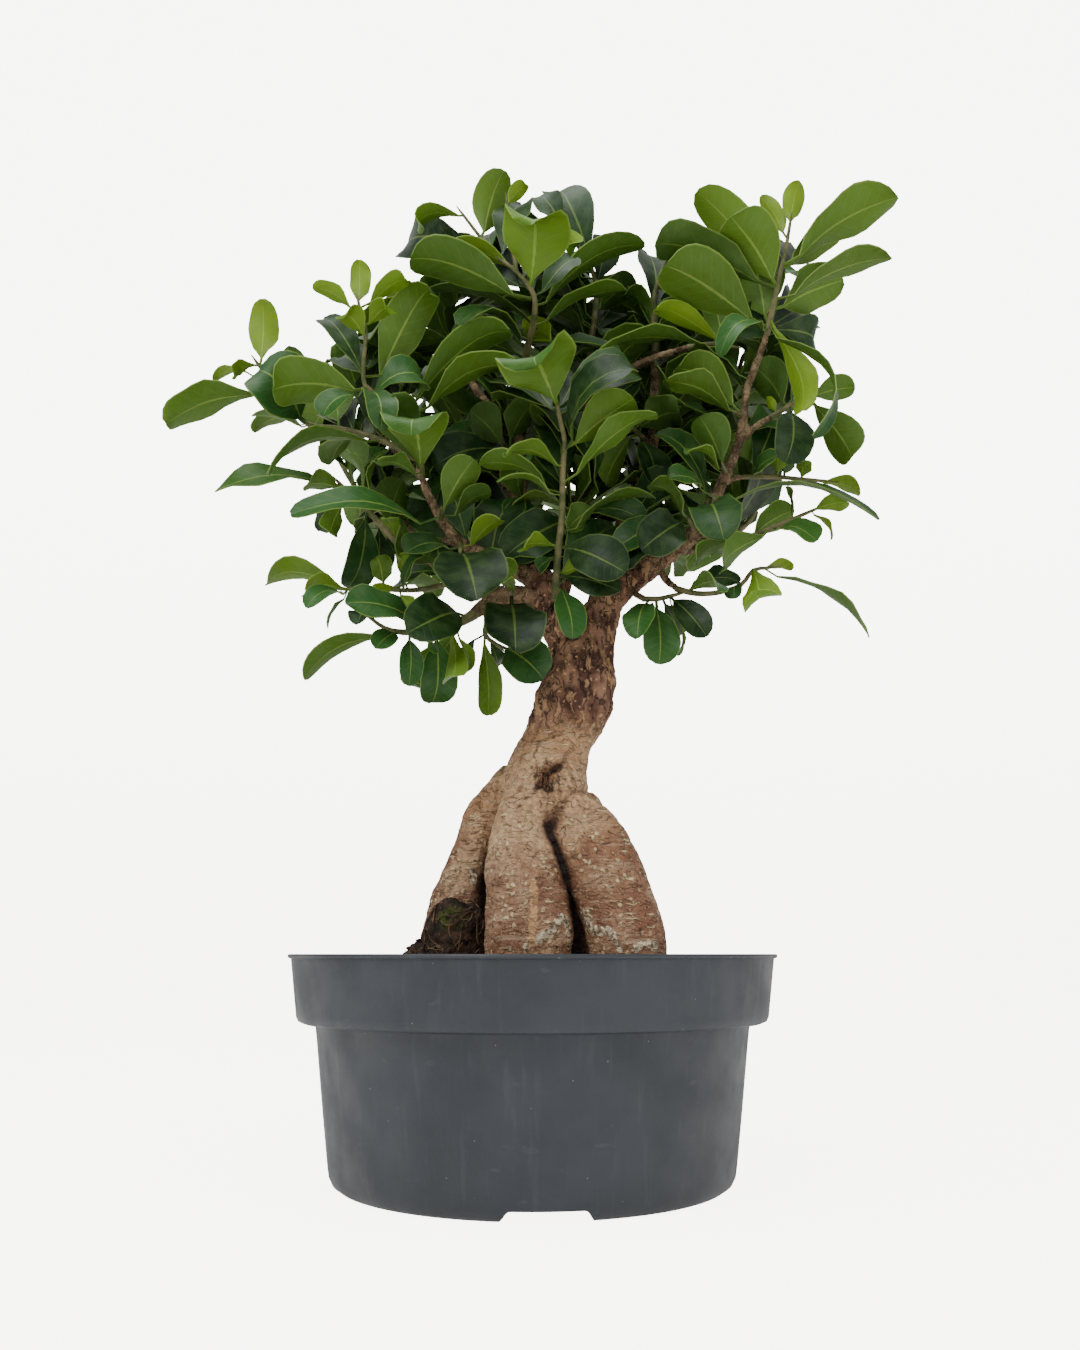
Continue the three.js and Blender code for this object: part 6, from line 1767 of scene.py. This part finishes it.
def shaded_nooks(points, normals, next_gap, stout):
    """How much painted shade falls where roots face each other or face the space between them."""
    from_axis = points[:, :2] - ROOT_AXIS
    from_axis /= np.linalg.norm(from_axis, axis=1)[:, None] + 1e-6
    inward = -np.einsum("ij,ij->i", normals[:, :2], from_axis)
    inner = eased(0.0, 0.6, inward) * eased(6, 14, points[:, 1])
    between = eased(6.5, 0.5, next_gap) * eased(150, 138, points[:, 2])
    return np.maximum(between, inner * eased(142, 128, points[:, 2])) * stout


def front_marks(points, normals):
    """Masks of the marks on the side that faces the eye, and the height of its knobs."""
    shown = shown_at(points)
    to_eye = EYE - points
    to_eye /= np.linalg.norm(to_eye, axis=1)[:, None]
    facing = eased(0.0, 0.35, np.einsum("ij,ij->i", normals, to_eye))
    facing *= eased(MARKED_DEPTH, MARKED_DEPTH - MARKED_FADE, points[:, 1])

    def marked(lines, width):
        return sum(line_mask(shown, line, width) for line in lines).clip(0, 1) * facing

    ragged = 1.1 * noise_over(points, 2.2, 17.0)
    from_hole = (shown - np.array(TORN_MIDDLE)) / np.array(TORN_SIZE)
    around = np.exp(-(from_hole ** 2).sum(axis=1)) * facing
    shreds = np.abs(noise_over(points, (1.6, 1.6, 7), 15.0))
    knobs = sum(high * np.exp(-((shown - (x, z)) ** 2).sum(axis=1) / wide ** 2) for x, z, wide, high in KNOBS)
    return {
        "hole": marked(HOLE, HOLE_WIDTH),
        "around": around,
        "torn": np.clip(around * (0.15 + 1.9 * shreds) - 0.12, 0, 1),
        "knot": marked(KNOT, KNOT_WIDTH),
        "groove": marked(GROOVES, GROOVE_WIDTH),
        "crust": marked(CRUSTS, CRUST_WIDTH + ragged),
        "scar": marked(SCAR, SCAR_WIDTH + 0.6 * ragged),
        "knobs": knobs * facing,
    }


def carve_wood(wood):
    """Relief and marks on the wood, and the values that its material reads."""
    mesh = wood.data
    stout, seam, next_gap = ease_limbs(mesh)
    points = coordinates(mesh) / MM
    normals = normals_of(mesh)
    upper, carved, lined = skin_relief(points, stout)
    marks = front_marks(points, normals)
    hole, torn, knot, groove = [marks[name] for name in ("hole", "torn", "knot", "groove")]
    carved += marks["knobs"] - 5.0 * hole - 1.6 * torn - 3.0 * knot - 1.0 * groove - 1.5 * seam
    carved += marks["crust"] * (0.7 + 1.3 * noise_over(points, 1.3, 30.0)) - 0.3 * marks["scar"]
    set_coordinates(mesh, (points + normals * carved[:, None]) * MM)
    # Low values mark the hole, knot, grooves, torn bark, seam and skin troughs, where the bark paints shade.
    relief = 0.55 + 0.28 * lined - hole - 0.4 * torn - 0.7 * knot - 0.16 * groove - 0.3 * seam
    # Painted shade where roots face each other, which the bark material darkens.
    nook = shaded_nooks(points, normals, next_gap, stout)
    set_values(mesh, upper=upper, stout=stout, nook=nook, relief=np.clip(relief, 0, 1))
    set_values(mesh, crust=marks["crust"], scar=marks["scar"], torn=marks["around"] * 0.9)


class BONSAI_OT_wood(bpy.types.Operator):
    """Roots, trunk and bare branches, grown as one piece"""

    bl_idname = "bonsai.wood"
    bl_label = "Roots and Trunk"

    def execute(self, context):
        limbs = ROOTS_AND_TRUNK + BRANCHES + [shoot.wood_rows for shoot in all_shoots()]
        rows = [smooth_row(*stations(row)[:2]) for row in limbs]
        wood = tubes("roots_and_trunk", rows, 6)
        remesh = wood.modifiers.new("grown together", "REMESH")
        remesh.mode = "VOXEL"
        remesh.voxel_size = context.scene.bonsai_plant.grain
        apply_modifiers(wood)
        carve_wood(wood)
        select_only(wood)
        bpy.ops.object.shade_smooth()
        wood.data.materials.append(bark_material())
        finish_piece(wood, "bark", "trunk")
        return {"FINISHED"}


# Leaves
STALK_ROWS = 2
BLADE_ROWS = 9
FILLER_ROWS = 6
LEAF_COLUMNS = 4
WIDEST = 0.58
PLUMP = 1.08
CURL_START = 0.66
LIGHT_CURL_START = 0.62
LEAF_CREASE = math.radians(60)
STEM_SUNK = 1.2
STEM_STEP = 4.0
BUD_FOOT = 3
BUD_TIP = 4


def leaf_pattern(blade_rows):
    """A thin closed sheet whose rows are the stalk and then the blade."""
    start_clean()
    bpy.ops.mesh.primitive_grid_add(
        x_subdivisions=LEAF_COLUMNS, y_subdivisions=STALK_ROWS + blade_rows, size=2
    )
    pattern = named("leaf_pattern")
    pattern.data.uv_layers[0].name = "blade"
    thick = pattern.modifiers.new("thickness", "SOLIDIFY")
    thick.thickness = 0.1
    thick.offset = -1
    apply_modifiers(pattern)
    return pattern


def pattern_places(pattern, blade_rows):
    """Side from -1 to 1, place along the leaf from -1 at the stem to 1 at the tip, and 1 on the underside."""
    points = coordinates(pattern.data)
    rows = (points[:, 1] + 1) / 2 * (STALK_ROWS + blade_rows)
    t = (rows - STALK_ROWS) / blade_rows
    spread = 0.35 * t + 0.65 * np.sin(np.pi / 2 * np.clip(t, 0, 1))
    place = np.where(rows < STALK_ROWS, rows / STALK_ROWS - 1, spread)
    return points[:, 0], place, (points[:, 2] < -0.05).astype(float)


def blade_outline(place):
    """Half width of the blade as a share of its greatest: narrow at the foot, blunt at the tip."""
    t = np.clip(place, 0, 1)
    lower = np.sin(np.pi / 2 * np.minimum(t / WIDEST, 1)) ** 1.05
    upper = (1 - (0.99 * np.clip((t - WIDEST) / (1 - WIDEST), 0, 1)) ** 2.6) ** 0.5
    return np.where(t < WIDEST, lower, upper)


def rolled(blade, t, start, turn):
    """The blade's middle line and its normals, with the end past start rolled back by turn."""
    end = (1 - start) * length_of(blade.span + blade.upper * (blade.rise * (1 - 2 * start)))
    grown = 1 / (start + (1 - start) * math.sin(min(turn, math.pi / 2)) / turn)
    normal = blade.normal(t)
    flat = blade.foot + (blade.middle(np.minimum(t, start)) - blade.foot) * grown
    upright = blade.normal(start)
    ahead = np.cross(upright, blade.across)
    angle = (turn * np.clip((t - start) / (1 - start), 0, 1))[:, None]
    radius = end * grown / turn
    middle = flat + ahead * (radius * np.sin(angle)) - upright * (radius * (1 - np.cos(angle)))
    tilted = upright * np.cos(angle) + ahead * np.sin(angle)
    return middle, np.where(t[:, None] > start, tilted, normal)


def shaped_leaf(placed, places, thickness, numbers):
    """Where each point of the pattern goes for one leaf, in millimetres."""
    side, place, under = places
    blade = placed.blade
    width = placed.leaf.width * PLUMP
    wave, phase, curl = next(numbers), next(numbers), next(numbers)
    turn = placed.leaf.curl or math.radians(10 + 60 * curl * curl)
    start = CURL_START if placed.leaf.curl else LIGHT_CURL_START
    stalk_half = 0.35 + 0.02 * width
    across = np.abs(side)
    on_blade = place >= 0
    t = np.clip(place, 0, 1)
    broad = np.sqrt((stalk_half * (t < 0.9)) ** 2 + (width / 2 * blade_outline(t)) ** 2)
    half = np.where(on_blade, broad, stalk_half)
    middle, normal = rolled(blade, t, start, turn)
    stalk = placed.root + (placed.foot - placed.root) * (place[:, None] + 1)
    centre = np.where(on_blade[:, None], middle, stalk)
    ripple = 0.11 * width * wave * np.sin(2 * math.pi * (1.7 * t + phase) + 2.0 * (side > 0))
    lift = half * FOLD_UP * across ** 1.25 + ripple * side ** 2 * np.minimum(1, t * 4)
    sheet = thickness * (1 + 1.6 * np.clip(0.35 - across, 0, 1) * (1 - t)) + 0.5 * np.clip(0.12 - t, 0, 1)
    stem = 1.5 * stalk_half * np.sqrt(np.clip(1 - 0.9 * side ** 2, 0, 1))
    offset = np.where(on_blade, sheet, stem) * (0.5 - under)
    rise = np.where(on_blade, lift, 0) + offset
    return centre + blade.across * (side * half * FOLD_OUT)[:, None] + normal * rise[:, None]


def stem_rows(shoot):
    """The smooth round stem from just inside the wood to the bud at its tip."""
    rows = []
    for line in shoot.leafy_rows:
        points, radii, directions = stations(line)
        if not rows:
            points[0] = points[0] - directions[0] * STEM_SUNK
        for length, girth in ((BUD_FOOT, radii[-1] * 0.8), (BUD_TIP, 0.25)):
            points.append(points[-1] + directions[-1] * length)
            radii.append(girth)
        rows.append(smooth_row(points, radii, STEM_STEP))
    return rows


def grown_leaf(pattern, places, placed, thickness, numbers):
    """A copy of the pattern, shaped as one leaf with its own age, which also paints shade, and its tint."""
    leaf = copy_of(pattern)
    set_coordinates(leaf.data, shaped_leaf(placed, places, thickness, numbers) * MM)
    same = np.ones(len(leaf.data.vertices))
    set_values(leaf.data, age=same * placed.leaf.age, tint=same * next(numbers), under=places[2])
    return leaf


def joined(name, pieces):
    """The pieces as one smooth piece."""
    select_only(*pieces)
    bpy.ops.object.join()
    named(name)
    bpy.ops.object.shade_smooth_by_angle(angle=LEAF_CREASE)


class BONSAI_OT_shoots(bpy.types.Operator):
    """Leafy stems, each with its leaves"""

    bl_idname = "bonsai.shoots"
    bl_label = "Leafy Stems"

    def execute(self, context):
        settings = context.scene.bonsai_plant
        shoots, stems, growing = grow_leaves()
        fillers = fill_crown(shoots, stems, growing)
        blade_material = leaf_material(settings)
        skin = stem_material()
        patterns = []
        for rows in (BLADE_ROWS, FILLER_ROWS):
            pattern = leaf_pattern(rows)
            pattern.data.materials.append(blade_material)
            patterns.append((pattern, pattern_places(pattern, rows)))
        numbers = random_source(SEED + 1)
        thickness = settings.blade / MM

        def leaves_of(chosen):
            made = []
            for (pattern, places), group in zip(patterns, (growing, fillers)):
                for placed in group:
                    if chosen(placed.shoot):
                        made.append(grown_leaf(pattern, places, placed, thickness, numbers))
            return made

        for shoot in shoots:
            stem = tubes("young_stem", stem_rows(shoot), 2)
            stem.data.materials.append(skin)
            leaves = leaves_of(lambda owner: owner is shoot)
            joined(f"shoot_{shoot.name}_leaves", [stem] + leaves)
            finish_piece(bpy.context.object, "leaf", f"shoot_{shoot.name}")
        joined("inner_leaves", leaves_of(lambda owner: owner.woody))
        finish_piece(bpy.context.object, "leaf")
        for pattern, _ in patterns:
            bpy.data.objects.remove(pattern)
        return {"FINISHED"}


# Stage, in metres and watts
FLOOR_SIZE = 7
FLOOR_SHIFT = -0.4
FLOOR_BACK = 3
WALL_HEIGHT = 6
WALL_BEND = 1.6
BEND_SEGMENTS = 24
SKY = (0.97, 0.985, 1.0, 1.0)
# Name, place, the point it is turned to, and size; its strength is the setting of the same name
LIGHTS = [
    ("key", (-0.9, -1.1, 1.3), (0, 0, 0.25), 0.9),
    ("fill", (1.3, -0.9, 0.6), (0, 0, 0.2), 1.2),
    ("top", (-0.1, -0.2, 1.7), (0, 0, 0.3), 1.1),
]


def pale_backdrop(settings):
    """A floor that curves up into a wall behind the plant."""
    start_clean()
    bpy.ops.mesh.primitive_plane_add(size=FLOOR_SIZE, location=(0, FLOOR_SHIFT, 0))
    floor = named("floor")
    settle(floor)
    bpy.ops.object.mode_set(mode="EDIT")
    bpy.ops.mesh.select_mode(type="EDGE")
    bpy.ops.mesh.select_all(action="DESELECT")
    bpy.ops.object.mode_set(mode="OBJECT")
    for edge in floor.data.edges:
        edge.select = all(floor.data.vertices[v].co.y > FLOOR_BACK for v in edge.vertices)
    bpy.ops.object.mode_set(mode="EDIT")
    bpy.ops.mesh.extrude_region_move(TRANSFORM_OT_translate={"value": (0, 0, WALL_HEIGHT)})
    bpy.ops.object.mode_set(mode="OBJECT")
    bend = floor.modifiers.new("bend", "BEVEL")
    bend.width = WALL_BEND
    bend.segments = BEND_SEGMENTS
    apply_modifiers(floor)
    select_only(floor)
    bpy.ops.object.shade_smooth()
    material, tree, shader = new_material("backdrop")
    shader.inputs["Base Color"].default_value = (*settings.backdrop, 1.0)
    shader.inputs["Roughness"].default_value = 0.9
    shader.inputs["Specular IOR Level"].default_value = 0.1
    height = node(tree, "ShaderNodeSeparateXYZ", {"Vector": object_coords(tree)}).outputs[2]
    glow = mixed(tree, ranged(tree, height, 0.0, WALL_BEND), linear(243, 238, 234), linear(255, 253, 250))
    put(tree, shader.inputs["Emission Color"], glow)
    rays = node(tree, "ShaderNodeLightPath").outputs
    seen_directly = times(tree, rays["Is Camera Ray"], settings.backdrop_glow)
    mirrored = times(tree, rays["Is Glossy Ray"], settings.backdrop_shine)
    put(tree, shader.inputs["Emission Strength"], plus(tree, seen_directly, mirrored))
    floor.data.materials.append(material)


def soft_light(name, place, aim, size, power):
    """A square soft light turned to a point."""
    start_clean()
    bpy.ops.object.light_add(type="AREA", location=place)
    lamp = named(name)
    lamp.data.size = size
    lamp.data.energy = power
    lamp.rotation_euler = (Vector(aim) - Vector(place)).to_track_quat("-Z", "Y").to_euler()


class BONSAI_OT_stage(bpy.types.Operator):
    """Pale backdrop, soft light and the camera"""

    bl_idname = "bonsai.stage"
    bl_label = "Stage"

    def execute(self, context):
        settings = context.scene.bonsai_stage
        pale_backdrop(settings)
        world = bpy.data.worlds.new("studio")
        world.use_nodes = True
        background = world.node_tree.nodes["Background"]
        background.inputs["Color"].default_value = SKY
        background.inputs["Strength"].default_value = settings.ambient
        context.scene.world = world
        for name, place, aim, size in LIGHTS:
            soft_light(name, place, aim, size, getattr(settings, name))
        start_clean()
        bpy.ops.object.camera_add(location=tuple(EYE * MM), rotation=(math.radians(90 + EYE_TILT), 0, 0))
        camera = named("camera")
        camera.data.sensor_width = 36
        camera.data.lens = LENS
        camera.data.clip_start = 0.01
        context.scene.camera = camera
        return {"FINISHED"}


class BONSAI_PT_panel(bpy.types.Panel):
    """The bonsai's pieces and settings"""

    bl_label = "Bonsai"
    bl_idname = "BONSAI_PT_panel"
    bl_space_type = "VIEW_3D"
    bl_region_type = "UI"
    bl_category = "Bonsai"

    def draw(self, context):
        layout = self.layout
        for group in (context.scene.bonsai_pot, context.scene.bonsai_plant, context.scene.bonsai_stage):
            for name in group.bl_rna.properties.keys():
                if name not in {"name", "rna_type"}:
                    layout.prop(group, name)
        for operator in OPERATORS:
            layout.operator(operator.bl_idname)


GROUPS = (PotSettings, PlantSettings, StageSettings)
OPERATORS = (BONSAI_OT_stage, BONSAI_OT_pot, BONSAI_OT_soil, BONSAI_OT_wood, BONSAI_OT_shoots)


def register():
    for one in GROUPS + OPERATORS + (BONSAI_PT_panel,):
        bpy.utils.register_class(one)
    bpy.types.Scene.bonsai_pot = PointerProperty(type=PotSettings)
    bpy.types.Scene.bonsai_plant = PointerProperty(type=PlantSettings)
    bpy.types.Scene.bonsai_stage = PointerProperty(type=StageSettings)


def unregister():
    del bpy.types.Scene.bonsai_pot
    del bpy.types.Scene.bonsai_plant
    del bpy.types.Scene.bonsai_stage
    for one in reversed(GROUPS + OPERATORS + (BONSAI_PT_panel,)):
        bpy.utils.unregister_class(one)


def main():
    register()
    make_effects()
    bpy.ops.bonsai.stage()
    bpy.ops.bonsai.pot()
    bpy.ops.bonsai.soil()
    bpy.ops.bonsai.wood()
    bpy.ops.bonsai.shoots()


if __name__ == "__main__":
    main()
